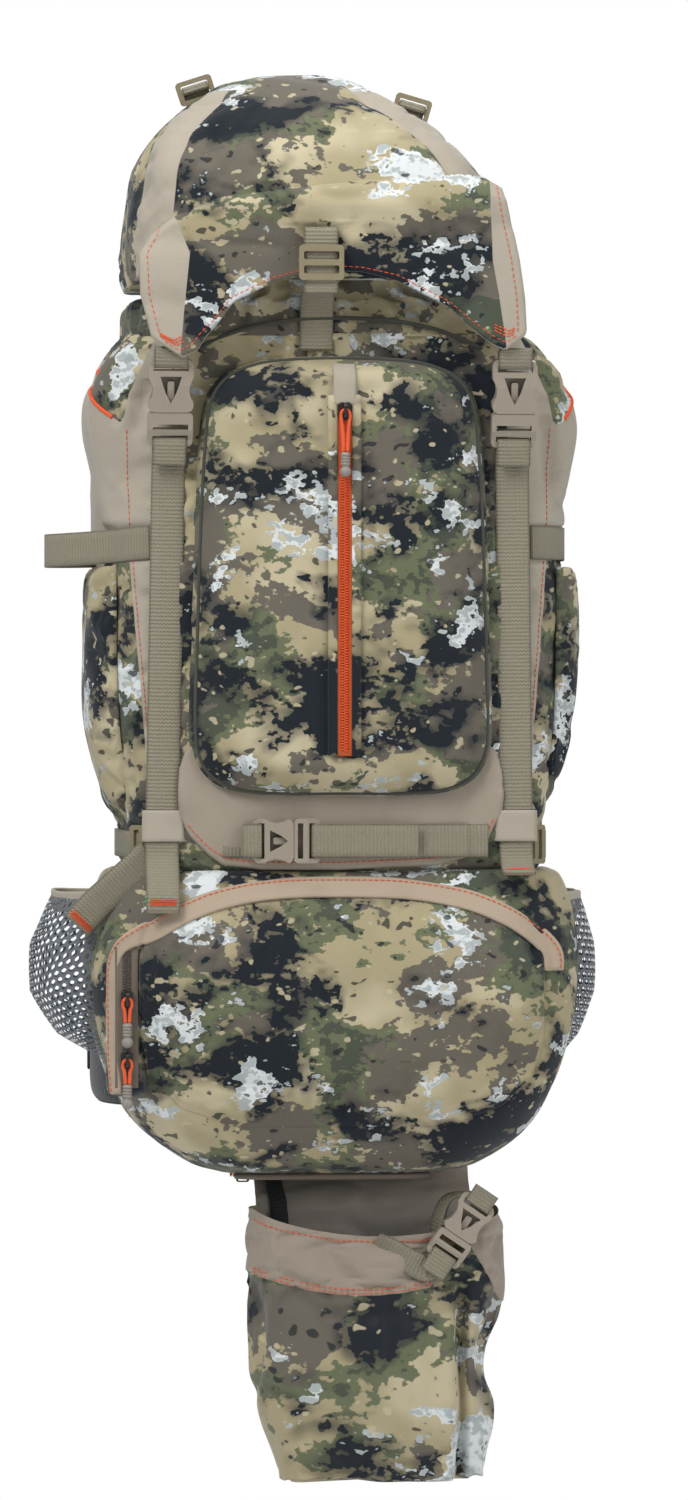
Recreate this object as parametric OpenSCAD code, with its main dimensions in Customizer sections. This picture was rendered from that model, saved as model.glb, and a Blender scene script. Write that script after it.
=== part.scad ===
// Hunting backpack: a hollow main bag with collar, flip-back lid, front pocket, zipped bottom
// compartment, mesh side pockets, drop-down boot and a padded harness on an aluminium frame.
// The origin is the inside top of the haul loop. The front faces -Y and the harness +Y.

/* [Fabric and webbing] */
// Wall of the bag fabric with its lining
wall = 3; // [2.5:0.5:4]
// Gap left between pieces that lie on each other
seat = 0.3; // [0.2:0.1:0.4]
// Width of the strap webbing
web_w = 25; // [20:1:28]
// Thickness of the strap webbing
web_t = 1.6; // [1.2:0.1:2]

/* [Main bag] */
// Half of the bag's width at its flat sides
bag_half_w = 170; // [160:1:176]
// How far the shoulders of the bag bulge past the flat sides
shoulder_bulge = 8; // [2:1:12]
// Depth of the bag from the back panel to the front
bag_depth = 224; // [210:1:240]
// Height of the bag from its floor to its rim
bag_h = 399; // [392:1:410]
// How far the lower straps draw in the bag's foot
foot_draw = 16; // [8:1:20]
// How far the gathers draw in the bag's rim
rim_draw = 22; // [10:1:26]
// Radius of the bag's upright corners
bag_corner_r = 62; // [50:1:66]
// Height of the gathered collar above the rim
collar_h = 106; // [95:1:110]

/* [Lid] */
// Height of the lid's dome above the top seam
dome_h = 95; // [80:1:105]
// How far the dome leans to the left
dome_lean = 14; // [0:1:18]
// Half of the lid's width at the top seam
lid_half_w = 130; // [124:1:134]
// Height of the lid's front flap at its centre
flap_h = 55; // [48:1:60]
// Length of the flap's corner tongues below the centre
flap_drop = 65; // [60:1:66]

/* [Lid straps] */
// Distance of each lid strap from the middle
strap_x = 127; // [126:1:132]
// Height of the lid buckles' mouth below the origin
buckle_drop = 55; // [52:1:60]
// Length of the lid strap's hanging tail below the keeper
tail_len = 58; // [40:1:60]
// Length of a buckle's socket
socket_len = 39; // [36:1:42]
// Length of a buckle's plug without its prongs
plug_len = 26; // [24:1:28]
// Thickness of a buckle
buckle_t = 11; // [10:0.5:12]
// Clearance of the prongs in the socket
prong_gap = 1.4; // [1.3:0.1:1.6]

/* [Front pocket] */
// Half of the pocket's width at its top
pocket_top_w = 101; // [96:1:104]
// Half of the pocket's width at its bottom
pocket_bottom_w = 112; // [106:1:113]
// Height of the pocket
pocket_h = 326; // [310:1:330]
// Depth of the pocket in the middle
pocket_d = 33; // [28:1:40]
// Width of the zip with its tape
zip_w = 14; // [12:1:16]
// Length of the front zip
zip_len = 258; // [220:1:262]
// Depth of the flap below the front pocket
boat_h = 52; // [44:1:54]

/* [Bottom compartment] */
// Height of the bottom compartment
base_h = 222; // [210:1:240]
// Half of the compartment's width at its widest
base_half_w = 180; // [172:1:184]
// How far the compartment stands out in front of the bag
base_out = 22; // [16:1:26]
// Width of the rain flap over the zip
rain_w = 14; // [10:1:16]
// Half of the door's width
door_half_w = 150; // [140:1:154]

/* [Pockets at the sides] */
// How far the filled left mesh pocket stands out
mesh_out = 46; // [36:1:50]
// How far the empty right mesh pocket stands out
mesh_out_right = 20; // [16:1:50]
// Depth of the mesh pockets from front to back
mesh_d = 150; // [120:1:160]
// Height of the mesh pockets
mesh_h = 122; // [100:1:126]
// Thickness of the slim side pockets
slim_t = 11; // [8:1:14]
// Width of the slim side pockets from front to back
slim_d = 138; // [120:1:144]

/* [Boot] */
// Width of the boot
boot_w = 186; // [160:1:190]
// Depth of the boot from front to back
boot_d = 64; // [50:1:70]
// Height of the boot's pouch with its hem
boot_h = 205; // [190:1:215]
// Length of the thin liner that carries the boot
liner_h = 22; // [18:1:26]

/* [Harness] */
// Width of the back panel
panel_w = 284; // [260:2:300]
// Height of the back panel
panel_h = 590; // [570:2:600]
// Thickness of the back panel's foam
panel_t = 22; // [18:1:26]
// Width of a shoulder strap
shoulder_w = 62; // [54:1:66]
// Thickness of a shoulder strap
shoulder_t = 14; // [10:1:14]
// Distance of each shoulder strap from the middle
shoulder_x = 82; // [78:1:86]
// Height of the hip belt
belt_h = 86; // [76:1:92]
// Thickness of the hip belt's foam
belt_t = 14; // [10:1:14]
// Width of the hip belt's webbing
belt_web_w = 38; // [30:1:40]
// Travel of the chest strap along its rails
chest_travel = 40; // [20:5:40]

/* [Hidden] */
$fn = 48;
camo = "#8c8262";
taupe = "#b3a591";
khaki = "#8f8468";
plastic = "#9b9184";
black = "#2b2c2e";
orange = "#e5531e";
mesh_grey = "#7d8288";
steel = "#b9bcc0";

// Planes and levels that several pieces share
haul_w = 20;
panel_back = -haul_w / 2 - seat;
panel_front = panel_back - panel_t;
bag_back = panel_front - 6;
bag_front = bag_back - bag_depth;
bag_rim = 4;
bag_floor = bag_rim - bag_h;
hinge_y = panel_front;
hinge_z = 15;
roll_r = 7.6;
panel_top = hinge_z - roll_r - seat;
seam_z = 104;
lid_wall_y = hinge_y - roll_r - 0.4;
lid_front = bag_front - 33;
pocket_top = -13;
pocket_front = bag_front - seat - pocket_d;
strap_y = bag_front - seat - web_t / 2;
keeper_z = bag_floor + 35;
base_top = bag_floor - seat;
base_floor = base_top - base_h;
boat_t = 4;

// Corner of a rounded rectangle as points, from angle a0 over a quarter turn
function corner(cx, cy, r, a0, n = 5) =
    [for (i = [0:n]) [cx + r * cos(a0 + 90 * i / n), cy + r * sin(a0 + 90 * i / n)]];

// Rounded rectangle between x0 and x1, y0 and y1, going counter-clockwise
function rounded(x0, x1, y0, y1, r) = concat(
    corner(x1 - r, y1 - r, r, 0), corner(x0 + r, y1 - r, r, 90),
    corner(x0 + r, y0 + r, r, 180), corner(x1 - r, y0 + r, r, 270));

function at_z(points, z) = [for (p = points) [p.x, p.y, z]];
function at_y(points, y) = [for (p = points) [p.x, y, p.y]];
function backwards(list) = [for (i = [len(list) - 1:-1:0]) list[i]];

// Closed skin over a stack of rings with equal counts; a ring stack that loops has no caps
module skin(rings, loop = false) {
    m = len(rings[0]);
    k = len(rings);
    last = loop ? k - 1 : k - 2;
    sides = [for (r = [0:last]) for (i = [0:m - 1])
        let (j = (i + 1) % m, s = (r + 1) % k)
        each [[r * m + i, s * m + i, s * m + j], [r * m + i, s * m + j, r * m + j]]];
    caps = loop ? [] : [[for (i = [0:m - 1]) i], [for (i = [m - 1:-1:0]) (k - 1) * m + i]];
    polyhedron([for (r = rings) each r], concat(sides, caps), convexity = 6);
}

// A section is [z, middle x, half width, front y, back y, corner radius]
function section_ring(s, d = 0) =
    at_z(rounded(s[1] - s[2] - d, s[1] + s[2] + d, s[3] - d, s[4] + d, max(s[5] + d, 4)), s[0]);
function stack(sections, d = 0) = [for (s = sections) section_ring(s, d)];

// Same sections with the first one moved to another height
function lifted(sections, z) = [for (i = [0:len(sections) - 1])
    i == 0 ? concat([z], [for (j = [1:5]) sections[0][j]]) : sections[i]];

// Open vessel: outer rings going up, inner rings coming down to a floor one wall higher
module vessel(sections, t) {
    skin(concat(stack(sections), backwards(stack(lifted(sections, sections[0][0] + t), -t))));
}

// Open sleeve: a wall of thickness t with both ends open
module sleeve(sections, t) {
    skin(concat(stack(sections), backwards(stack(sections, -t))), loop = true);
}

// Ribbon of thickness t along a path in a plane, drawn as a polygon
function heading(p, i) = let (d = p[min(i + 1, len(p) - 1)] - p[max(i - 1, 0)]) d / norm(d);
function beside(p, d) = [for (i = [0:len(p) - 1]) let (u = heading(p, i)) p[i] + d * [-u.y, u.x]];
module ribbon(p, t) {
    polygon(concat(beside(p, t / 2), backwards(beside(p, -t / 2))));
}

// Ribbon whose path lies in the YZ, XY or XZ plane, with its width across that plane
module ribbon_yz(p, t, w, x = 0) {
    translate([x, 0, 0]) rotate([90, 0, 90]) linear_extrude(w, center = true) ribbon(p, t);
}
module ribbon_xy(p, t, w, z = 0) {
    translate([0, 0, z]) linear_extrude(w, center = true) ribbon(p, t);
}
module ribbon_xz(p, t, w, y = 0) {
    translate([0, y, 0]) rotate([90, 0, 0]) linear_extrude(w, center = true) ribbon(p, t);
}

// Flat rounded plate outline, centred
module plate(w, h, r) {
    square([w - 2 * r, h], center = true);
    square([w, h - 2 * r], center = true);
    for (x = [-1, 1], y = [-1, 1]) translate([x * (w / 2 - r), y * (h / 2 - r)]) circle(r);
}

module both_sides() {
    for (s = [0, 1]) mirror([s, 0, 0]) children();
}

// Side-release buckle for webbing of width w: mouth at z = 0, socket upwards, plug downwards
rim_w = 4;
bar_h = 4.5;
bar_sink = 3.2;
bar_lift = 1.2;
function buckle_half(w) = w / 2 + rim_w;
function cavity_half(w) = w / 2 + 0.6;

// Outline of a socket seen from the front, with finger scoops at both sides
module socket_outline(w, l) {
    h = buckle_half(w);
    scoop_r = 14;
    difference() {
        translate([0, l / 2]) plate(2 * h, l, 5);
        for (s = [-1, 1]) translate([s * (h + scoop_r - 3), l * 0.42]) circle(scoop_r);
    }
}

// Side profile of a moulded buckle half: full thickness at the mouth, thinner at its webbing end
module moulded_profile(l, t) {
    bar = l - bar_h - 0.5;
    polygon([[-t / 2, 0], [-t / 2, l * 0.5], [-t / 2 + bar_sink, bar], [-t / 2 + bar_sink, l],
             [t / 2 - bar_lift, l], [t / 2 - bar_lift, bar], [t / 2, bar - 3], [t / 2, 0]]);
}

module socket(w, l = socket_len) {
    h = buckle_half(w);
    cav_h = buckle_t - 4;
    depth = l - bar_h - 8;
    difference() {
        intersection() {
            rotate([90, 0, 0]) linear_extrude(buckle_t, center = true) socket_outline(w, l);
            rotate([90, 0, 90]) linear_extrude(2 * h, center = true) moulded_profile(l, buckle_t);
        }
        translate([0, 0, depth / 2 - 0.5]) cube([2 * cavity_half(w), cav_h, depth + 1], center = true);
        translate([0, 0, depth * 0.6]) cube([2 * h + 2, cav_h, depth * 0.5], center = true);
        translate([0, -buckle_t / 2, 0]) rotate([90, 0, 0]) linear_extrude(6, center = true)
            polygon([[-8, depth], [8, depth], [4, depth * 0.55], [0, depth * 0.25], [-4, depth * 0.55]]);
        translate([0, 0, l - bar_h - 2]) cube([w + 1, buckle_t + 2, 4], center = true);
    }
}

// Outline of one prong with its hooked tip, and of the centre guide
module prong_outline(w, reach) {
    a = cavity_half(w) - 0.7;
    polygon([[a - 4.6, -2], [a, -2], [a, 5], [a - 1.2, reach * 0.5], [a, reach * 0.56], [a, reach * 0.84],
             [a - 2.6, reach], [a - 4.4, reach - 1.5], [a - 4.6, reach * 0.4]]);
}

module plug(w, l = plug_len, socket_l = socket_len) {
    h = buckle_half(w);
    reach = socket_l - bar_h - 8 - 2;
    thick = buckle_t - 4 - 2 * prong_gap;
    slot = 4;
    rotate([90, 0, 0]) linear_extrude(thick, center = true) {
        prong_outline(w, reach);
        mirror([1, 0]) prong_outline(w, reach);
        translate([0, reach * 0.42]) plate(5, reach * 0.84 + 4, 1.5);
    }
    difference() {
        translate([0, 0, -l]) intersection() {
            rotate([90, 0, 0]) linear_extrude(buckle_t, center = true)
                translate([0, l / 2]) plate(2 * h, l, 4);
            rotate([90, 0, 90]) linear_extrude(2 * h, center = true)
                translate([0, l - 0.4]) mirror([0, 1]) moulded_profile(l - 0.4, buckle_t - 1);
        }
        for (z = [-l + bar_h + slot / 2, -l + 2 * bar_h + slot * 1.5])
            translate([0, 0, z]) cube([w + 1, buckle_t + 2, slot], center = true);
    }
}

// Three-bar slide for webbing of width w, lying flat in the XZ plane
module slide_buckle(w, h = 22, t = 3) {
    rotate([90, 0, 0]) linear_extrude(t, center = true) difference() {
        plate(w + 8, h, 3);
        for (z = [-1, 1]) translate([0, z * h / 5]) plate(w + 1, h / 4.4, 1.5);
    }
}

// Main bag, collar and lid

shoulder_z = [bag_rim - 114, bag_rim - 64, bag_rim - 29];
foot_half = bag_half_w - foot_draw;
foot_r = bag_corner_r - foot_draw;
rim_half = bag_half_w - rim_draw;
rim_r = bag_corner_r - rim_draw;
rim_x = -dome_lean / 2;
bag_sections = [
    [bag_floor, 0, foot_half - 7, bag_front + 6, bag_back, foot_r - 6],
    [bag_floor + 10, 0, foot_half, bag_front, bag_back, foot_r],
    [bag_floor + 32, 0, foot_half, bag_front, bag_back, foot_r],
    [bag_floor + 95, 0, bag_half_w - 3, bag_front, bag_back, bag_corner_r - 3],
    [bag_floor + 145, 0, bag_half_w, bag_front, bag_back, bag_corner_r],
    [shoulder_z[0], 0, bag_half_w, bag_front, bag_back, bag_corner_r],
    [shoulder_z[1], 0, bag_half_w + shoulder_bulge, bag_front, bag_back, bag_corner_r],
    [shoulder_z[2], rim_x / 2, bag_half_w + shoulder_bulge - 8, bag_front, bag_back, bag_corner_r - 6],
    [bag_rim, rim_x, rim_half, bag_front, bag_back, rim_r]];

module main_bag() {
    color(taupe) vessel(bag_sections, wall);
}

collar_top = bag_rim + collar_h;
collar_sections = [
    [bag_rim + seat, rim_x, rim_half, bag_front, bag_back - 8, rim_r],
    [bag_rim + 24, rim_x - 3, rim_half - 4, bag_front + 2, bag_back - 10, rim_r + 6],
    [bag_rim + 33, -dome_lean + 2, lid_half_w - 5, bag_front + 8, bag_back - 12, bag_corner_r - 6],
    [bag_rim + 70, -dome_lean, lid_half_w - 9, bag_front + 14, bag_back - 16, bag_corner_r - 6],
    [collar_top, -dome_lean - 2, lid_half_w - 20, bag_front + 30, bag_back - 36, bag_corner_r - 10]];

module collar() {
    color(camo) sleeve(collar_sections, wall);
}

lid_hem = bag_rim + 40;
lid_corner_r = 50;
function dome_section(rise, lean, narrow, front, back, r) =
    [seam_z + dome_h * rise, -dome_lean - lean, lid_half_w - narrow, lid_front + front, lid_wall_y - back, r];
dome_sections = [
    [lid_hem, -dome_lean + 1, lid_half_w + 8, lid_front, lid_wall_y, lid_corner_r],
    dome_section(0, 2, 0, 0, 0, lid_corner_r),
    dome_section(0.26, 7, 8, 4, 3, lid_corner_r),
    dome_section(0.48, 12, 23, 16, 10, lid_corner_r),
    dome_section(0.68, 15, 46, 36, 26, lid_corner_r - 4),
    dome_section(0.86, 16, 74, 64, 52, lid_corner_r - 14),
    dome_section(0.96, 13, 96, 86, 76, 24),
    dome_section(1, 12, 108, 100, 92, 16)];

// Sections with the last one lowered by t, for the ceiling of a cap
function lowered(sections, t) = [for (i = [0:len(sections) - 1])
    i < len(sections) - 1 ? sections[i] : concat([sections[i][0] - t], [for (j = [1:5]) sections[i][j]])];

module lid_dome() {
    lining = stack(lowered(dome_sections, wall * 0.8), -wall);
    color(camo) skin(concat(backwards(lining), stack(dome_sections)));
}

// Strip that carries the lid on the hinge roll
hinge_half_w = 92;
module lid_back() {
    color(taupe) translate([-hinge_half_w - dome_lean, lid_wall_y - wall, hinge_z + 1])
        cube([2 * hinge_half_w, wall, lid_hem - seat - hinge_z - 1]);
}

module hinge_roll() {
    color(taupe) translate([-dome_lean, hinge_y, hinge_z]) rotate([0, 90, 0])
        cylinder(r = roll_r, h = 2 * hinge_half_w, center = true);
}

// Front flap of the lid: an arched panel with a tongue over each lid strap
flap_t = 3;
tongue_w = 25;
peak_z = seam_z - flap_h;
tongue_z = peak_z - flap_drop;
flap_side = strap_x + tongue_w / 2;
function arch_points(s) = [for (i = [0:8]) let (k = i / 8)
    [s * (strap_x - tongue_w / 2) * (1 - k), peak_z - (flap_drop - 14) * pow(1 - k, 2.4)]];
flap_outline = concat(
    [[-lid_half_w + 16, seam_z + 2], [-flap_side + 4, seam_z - 46], [-flap_side, tongue_z + 30],
     [-flap_side, tongue_z], [-strap_x + tongue_w / 2, tongue_z]],
    arch_points(-1), backwards(arch_points(1)),
    [[strap_x - tongue_w / 2, tongue_z], [flap_side, tongue_z], [flap_side, tongue_z + 30],
     [flap_side - 6, seam_z - 46], [lid_half_w - 40, seam_z + 6]]);

module lid_flap() {
    color(camo) translate([0, lid_front - seat, 0]) rotate([90, 0, 0])
        linear_extrude(flap_t) polygon(flap_outline);
}

// The lid buckles stand on the arc that their sockets follow as the lid opens
mouth_y = bag_front - 16;
mouth_z = -buckle_drop;
buckle_tilt = atan2(hinge_z - mouth_z - socket_len * 0.3, hinge_y - mouth_y);
module at_lid_buckle(side) {
    translate([side * strap_x, mouth_y, mouth_z]) rotate([buckle_tilt, 0, 0]) children();
}

module lid_sockets() {
    color(plastic) for (s = [-1, 1]) at_lid_buckle(s) socket(web_w);
}

// Webbing tab sewn behind each tongue and folded round the socket's bar
tab_gap = 0.45;
socket_bar = [-buckle_t / 2 + bar_sink, buckle_t / 2 - bar_lift];
plug_bar = socket_bar + [0.5, -0.5];
module lid_tabs() {
    bar_front = socket_bar[0] - tab_gap - web_t / 2;
    bar_rear = socket_bar[1] + tab_gap + web_t / 2;
    low = socket_len - bar_h - tab_gap - web_t / 2;
    path = [[bar_front, socket_len + 10], [bar_front, low + 1.2], [bar_front + 1.2, low],
            [bar_rear - 1.2, low], [bar_rear, low + 1.2], [bar_rear, socket_len + 6]];
    color(khaki) for (s = [-1, 1]) at_lid_buckle(s) ribbon_yz(path, web_t, web_w);
}

// Loops of webbing with three-bar slides on top of the lid
loop_w = 20;
loop_y = (lid_front + lid_wall_y) / 2;
loop_places = [
    [-lid_half_w + 29, seam_z + dome_h * 0.92, -18],
    [lid_half_w - 68, seam_z + dome_h * 0.79, 16]];
module lid_slides() {
    color(khaki) for (p = loop_places)
        translate([p[0], loop_y, p[1]]) rotate([0, p[2], 0]) slide_buckle(loop_w, 18);
}
module lid_loop_tabs() {
    color(khaki) difference() {
        for (p = loop_places) translate([p[0], loop_y + 1.5 + seat + web_t / 2, p[1]]) rotate([0, p[2], 0])
            translate([0, 0, -12]) cube([loop_w, web_t, 30], center = true);
        skin(stack(dome_sections, seat));
    }
}

// Lid straps on the front of the bag

// Point of the buckle's own frame, given as [y, z], in the frame of the part
function from_buckle(p) = [mouth_y + p.x * cos(buckle_tilt) - p.y * sin(buckle_tilt),
    mouth_z + p.x * sin(buckle_tilt) + p.y * cos(buckle_tilt)];
strap_front = plug_bar[0] - tab_gap - web_t / 2;
strap_rear = plug_bar[1] + tab_gap + web_t / 2;
strap_fold = -plug_len + bar_h + tab_gap + web_t / 2;
strap_path = concat([for (p = [[strap_front, -plug_len - 16], [strap_front, strap_fold - 1.2],
        [strap_front + 1.2, strap_fold], [strap_rear - 1.2, strap_fold], [strap_rear, strap_fold - 1.2],
        [strap_rear, -plug_len - 4]]) from_buckle(p)],
    [[strap_y, mouth_z - plug_len - 26], [strap_y, keeper_z - 16], [strap_y - 3, keeper_z - 24],
     [bag_front - base_out - 1, keeper_z - tail_len + 8], [bag_front - base_out - 2, keeper_z - tail_len]]);

module lid_plugs() {
    color(plastic) for (s = [-1, 1]) at_lid_buckle(s) plug(web_w);
}
module lid_straps() {
    color(khaki) for (s = [-1, 1]) ribbon_yz(strap_path, web_t, web_w, s * strap_x);
}

// Fabric keeper round each lid strap
keeper_h = 20;
keeper_t = 1.5;
module strap_keepers() {
    inside = [web_w + 1, web_t + 2 * seat];
    middle_y = strap_y - web_t / 2 - seat - (keeper_t - inside.y) / 2;
    color(taupe) for (s = [-1, 1]) translate([s * strap_x, middle_y, keeper_z])
        linear_extrude(keeper_h, center = true) difference() {
            square([inside.x + 2 * keeper_t, inside.y + keeper_t], center = true);
            translate([0, keeper_t]) square([inside.x, inside.y + keeper_t], center = true);
        }
}

// Front pocket with its centre zip

pocket_bottom = pocket_top - pocket_h;
function pocket_ring(d, y) = let (rt = max(22 - d, 4), rb = max(45 - d, 4),
    wt = pocket_top_w - d, wb = pocket_bottom_w - d, zt = pocket_top - d, zb = pocket_bottom + d)
    at_y(concat(corner(wt - rt, zt - rt, rt, 0), corner(-wt + rt, zt - rt, rt, 90),
        corner(-wb + rb, zb + rb, rb, 180), corner(wb - rb, zb + rb, rb, 270)), y);
function pocket_rings(d) = [
    pocket_ring(d, bag_front - seat - d),
    pocket_ring(3 + d, bag_front - seat - pocket_d * 0.55),
    pocket_ring(12 + d, bag_front - seat - pocket_d * 0.85),
    pocket_ring(30 + d, pocket_front + d)];

zip_top = pocket_top - 34;
slit_w = zip_w - 6;
module front_pocket() {
    color(camo) difference() {
        skin(pocket_rings(0));
        skin(pocket_rings(wall));
        translate([-slit_w / 2, pocket_front - 1, zip_top - zip_len + 4])
            cube([slit_w, wall + 2, zip_len - 8]);
    }
}

// Zip tape with its raised coil
tape_t = 1.2;
coil_w = 6;
coil_t = 1.6;
coil_front = pocket_front - seat - tape_t - coil_t;
module front_zip() {
    color(orange) translate([0, pocket_front - seat, zip_top]) {
        translate([-zip_w / 2, -tape_t, -zip_len]) cube([zip_w, tape_t, zip_len]);
        translate([-coil_w / 2, -tape_t - coil_t, -zip_len]) cube([coil_w, coil_t, zip_len]);
    }
}

// Zip slider: a flared body with a channel for the coil and a bridge for the pull.
// The zip runs down along -Z and the tape lies at y = 0.
slider_l = 13;
slider_w = 10;
bail_out = 7;
bail_t = 1.6;
module zip_slider() {
    front = -tape_t - coil_t - seat;
    difference() {
        translate([0, front, 0]) rotate([90, 0, 0]) linear_extrude(1.8) intersection() {
            plate(slider_w, slider_l, 3);
            polygon([[-slider_w / 2, slider_l / 2], [slider_w / 2, slider_l / 2],
                     [slider_w / 2 - 1.5, -slider_l / 2], [-slider_w / 2 + 1.5, -slider_l / 2]]);
        }
        translate([0, front, slider_l / 2]) cube([1.2, 8, 5], center = true);
    }
    for (s = [-1, 1]) translate([s * (coil_w / 2 + seat + 0.6), (front - 0.4 - tape_t - seat) / 2, 0])
        cube([1.2, -front + 0.4 - tape_t - seat, slider_l - 3], center = true);
    translate([0, front - 1.6, 0]) rotate([90, 0, 90]) linear_extrude(2.4, center = true) difference() {
        translate([-bail_out / 2 + 1, 0]) plate(bail_out, slider_l - 3, 2);
        translate([-bail_out / 2 + 0.4, 0]) plate(bail_out - 2 * bail_t, slider_l - 3 - 2 * bail_t, 1);
    }
}
// Middle of the bridge's eye, where a pull cord hangs
function eye(p) = p + [0, -tape_t - coil_t - seat - 1.6 - bail_out / 2 + 0.4, 0];

// Moulded grip of a pull: a ribbed barrel with a ball below, hanging from z = 0
grip_l = 14;
ball_r = 4.2;
module pull_grip() {
    rotate_extrude() polygon(concat([[0, 0], [2.6, 0]],
        [for (i = [0:3]) each [[3.6, -1.5 - 2.2 * i], [3.6, -2.4 - 2.2 * i], [2.9, -2.8 - 2.2 * i]]],
        [[2.6, -grip_l + 3.2], [0, -grip_l + 3.2]]));
    translate([0, 0, -grip_l]) sphere(ball_r);
}

// Doubled cord of a pull, through the bridge's eye and down to its grip
cord_r = 1.3;
function cord_route(l) = [
    [-1.5, 0, -l], [-1.8, 0, -l * 0.7], [-2.3, 0, -l * 0.4], [-3.2, 0, -5], [-2.9, 0, -1.2], [-1.6, 0, 0.4],
    [0, 0, 0.9], [1.6, 0, 0.4], [2.9, 0, -1.2], [3.2, 0, -5], [2.3, 0, -l * 0.4],
    [1.8, 0, -l * 0.7], [1.5, 0, -l]];
function tangent(p, i) = let (d = p[min(i + 1, len(p) - 1)] - p[max(i - 1, 0)]) d / norm(d);
module cord_tube(p, r, n = 8) {
    skin([for (i = [0:len(p) - 1]) let (t = tangent(p, i), a = [0, 1, 0], b = cross(t, a))
        [for (k = [0:n - 1]) p[i] + r * (cos(360 * k / n) * a + sin(360 * k / n) * b)]]);
}

slider_start = zip_top - slider_l / 2 - 2;
front_eye = eye([0, pocket_front - seat, slider_start]);
front_pull_l = 30;
module front_slider() {
    color(steel) translate([0, pocket_front - seat, slider_start]) zip_slider();
}
module front_pull_cord() {
    color(orange) translate(front_eye) cord_tube(cord_route(front_pull_l), cord_r);
}
module front_pull_grip() {
    color(plastic) translate(front_eye - [0, 0, front_pull_l + seat]) pull_grip();
}

// Boat-shaped flap below the pocket
boat_bottom = pocket_bottom - boat_h;
boat_outline = [[-pocket_bottom_w, pocket_bottom + 22], [-pocket_bottom_w, boat_bottom + 34],
    [-pocket_bottom_w + 14, boat_bottom + 12], [-pocket_bottom_w + 34, boat_bottom + 2], [0, boat_bottom],
    [pocket_bottom_w - 34, boat_bottom + 4], [pocket_bottom_w - 12, boat_bottom + 12],
    [pocket_bottom_w, boat_bottom + 38], [pocket_bottom_w, pocket_bottom + 22]];
module boat_flap() {
    clear_of_pocket = [for (p = pocket_ring(-seat, 0)) [p.x, p.z]];
    color(taupe) translate([0, bag_front - seat, 0]) rotate([90, 0, 0])
    linear_extrude(boat_t) difference() {
        polygon(boat_outline);
        polygon(clear_of_pocket);
    }
}

// Front compression strap over the boat flap

front_strap_z = pocket_bottom - 32;
boat_front = bag_front - seat - boat_t;
front_mouth_x = -36;
front_socket_l = 30;
front_plug_l = 20;
front_buckle_y = boat_front - 1.5 - buckle_t / 2;
front_web_end = 57;
module at_front_buckle() {
    translate([front_mouth_x, front_buckle_y, front_strap_z]) rotate([0, -90, 0]) children();
}
module front_socket() {
    color(plastic) at_front_buckle() socket(web_w, front_socket_l);
}
module front_plug() {
    color(plastic) at_front_buckle() plug(web_w, front_plug_l, front_socket_l);
}

// Webbing folded round a bar that lies between y0 and y1, with its fold at x and both ends given
function folded(x, y0, y1, end0, end1) = let (s = sign(end0 - x), a = y0 - tab_gap - web_t / 2,
    b = y1 + tab_gap + web_t / 2, c = x - s * (tab_gap + web_t / 2))
    [[end0, a], [c + s * 1.2, a], [c, a + 1.2], [c, b - 1.2], [c + s * 1.2, b], [end1, b]];

module front_strap_loop() {
    bar = front_mouth_x + front_plug_l - bar_h;
    faces = [front_buckle_y + plug_bar[0], front_buckle_y + plug_bar[1]];
    path = folded(bar, faces[0], faces[1], front_web_end, front_web_end);
    color(khaki) ribbon_xy(path, web_t, web_w, front_strap_z);
}

// Webbing that holds the socket at the left, and the sewn-down end at the right
module front_anchors() {
    bar = front_mouth_x - front_socket_l + bar_h;
    left = folded(bar, front_buckle_y + socket_bar[0], front_buckle_y + socket_bar[1], bar - 12, bar - 26);
    right_y = front_buckle_y + plug_bar[1] - 0.7;
    on_flap = boat_front - seat - web_t / 2;
    right = [[front_web_end - 17, right_y], [front_web_end + 31, right_y], [front_web_end + 39, on_flap],
        [front_web_end + 52, on_flap]];
    color(khaki) {
        ribbon_xy(left, web_t, web_w, front_strap_z);
        ribbon_xy(right, web_t, web_w, front_strap_z);
    }
}

// Bottom compartment with its zipped door

base_front = bag_front - base_out;
base_sections = [
    [base_floor, 0, base_half_w - 96, base_front + 62, bag_back - 50, 40],
    [base_floor + 8, 0, base_half_w - 74, base_front + 40, bag_back - 34, 48],
    [base_floor + 30, 0, base_half_w - 42, base_front + 18, bag_back - 16, 56],
    [base_floor + 60, 0, base_half_w - 20, base_front + 6, bag_back - 6, 62],
    [base_floor + 105, 0, base_half_w - 5, base_front + 1, bag_back, 66],
    [base_floor + 150, 0, base_half_w, base_front, bag_back, 66],
    [base_top - 32, 0, base_half_w - 4, base_front + 5, bag_back, 66],
    [base_top, 0, base_half_w - 14, bag_front - 4, bag_back, 60]];

// Front of a section at a distance x from the middle, round its corner
function front_at(s, x) = let (past = max(abs(x - s[1]) - s[2] + s[5], 0))
    s[3] + s[5] - sqrt(s[5] * s[5] - past * past);

// Door outline: an arch over the top, upright sides and a short straight hinge line
door_foot = base_floor + 36;
arch_drop = 40;
function door_arch(x) = base_top - rain_w - 2 - arch_drop * pow(abs(x) / door_half_w, 3);
door_outline = concat(
    [for (i = [0:20]) let (x = door_half_w * (1 - i / 10)) [x, door_arch(x)]],
    [[-door_half_w, door_foot + 62], [-door_half_w + 9, door_foot + 36],
     [-door_half_w + 32, door_foot + 14], [-door_half_w + 74, door_foot],
     [door_half_w - 74, door_foot], [door_half_w - 32, door_foot + 14],
     [door_half_w - 9, door_foot + 36], [door_half_w, door_foot + 62]]);
module door_shape(grow = 0) {
    translate([0, bag_front + 70, 0]) rotate([90, 0, 0])
        linear_extrude(160) offset(delta = grow) polygon(door_outline);
}

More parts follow.
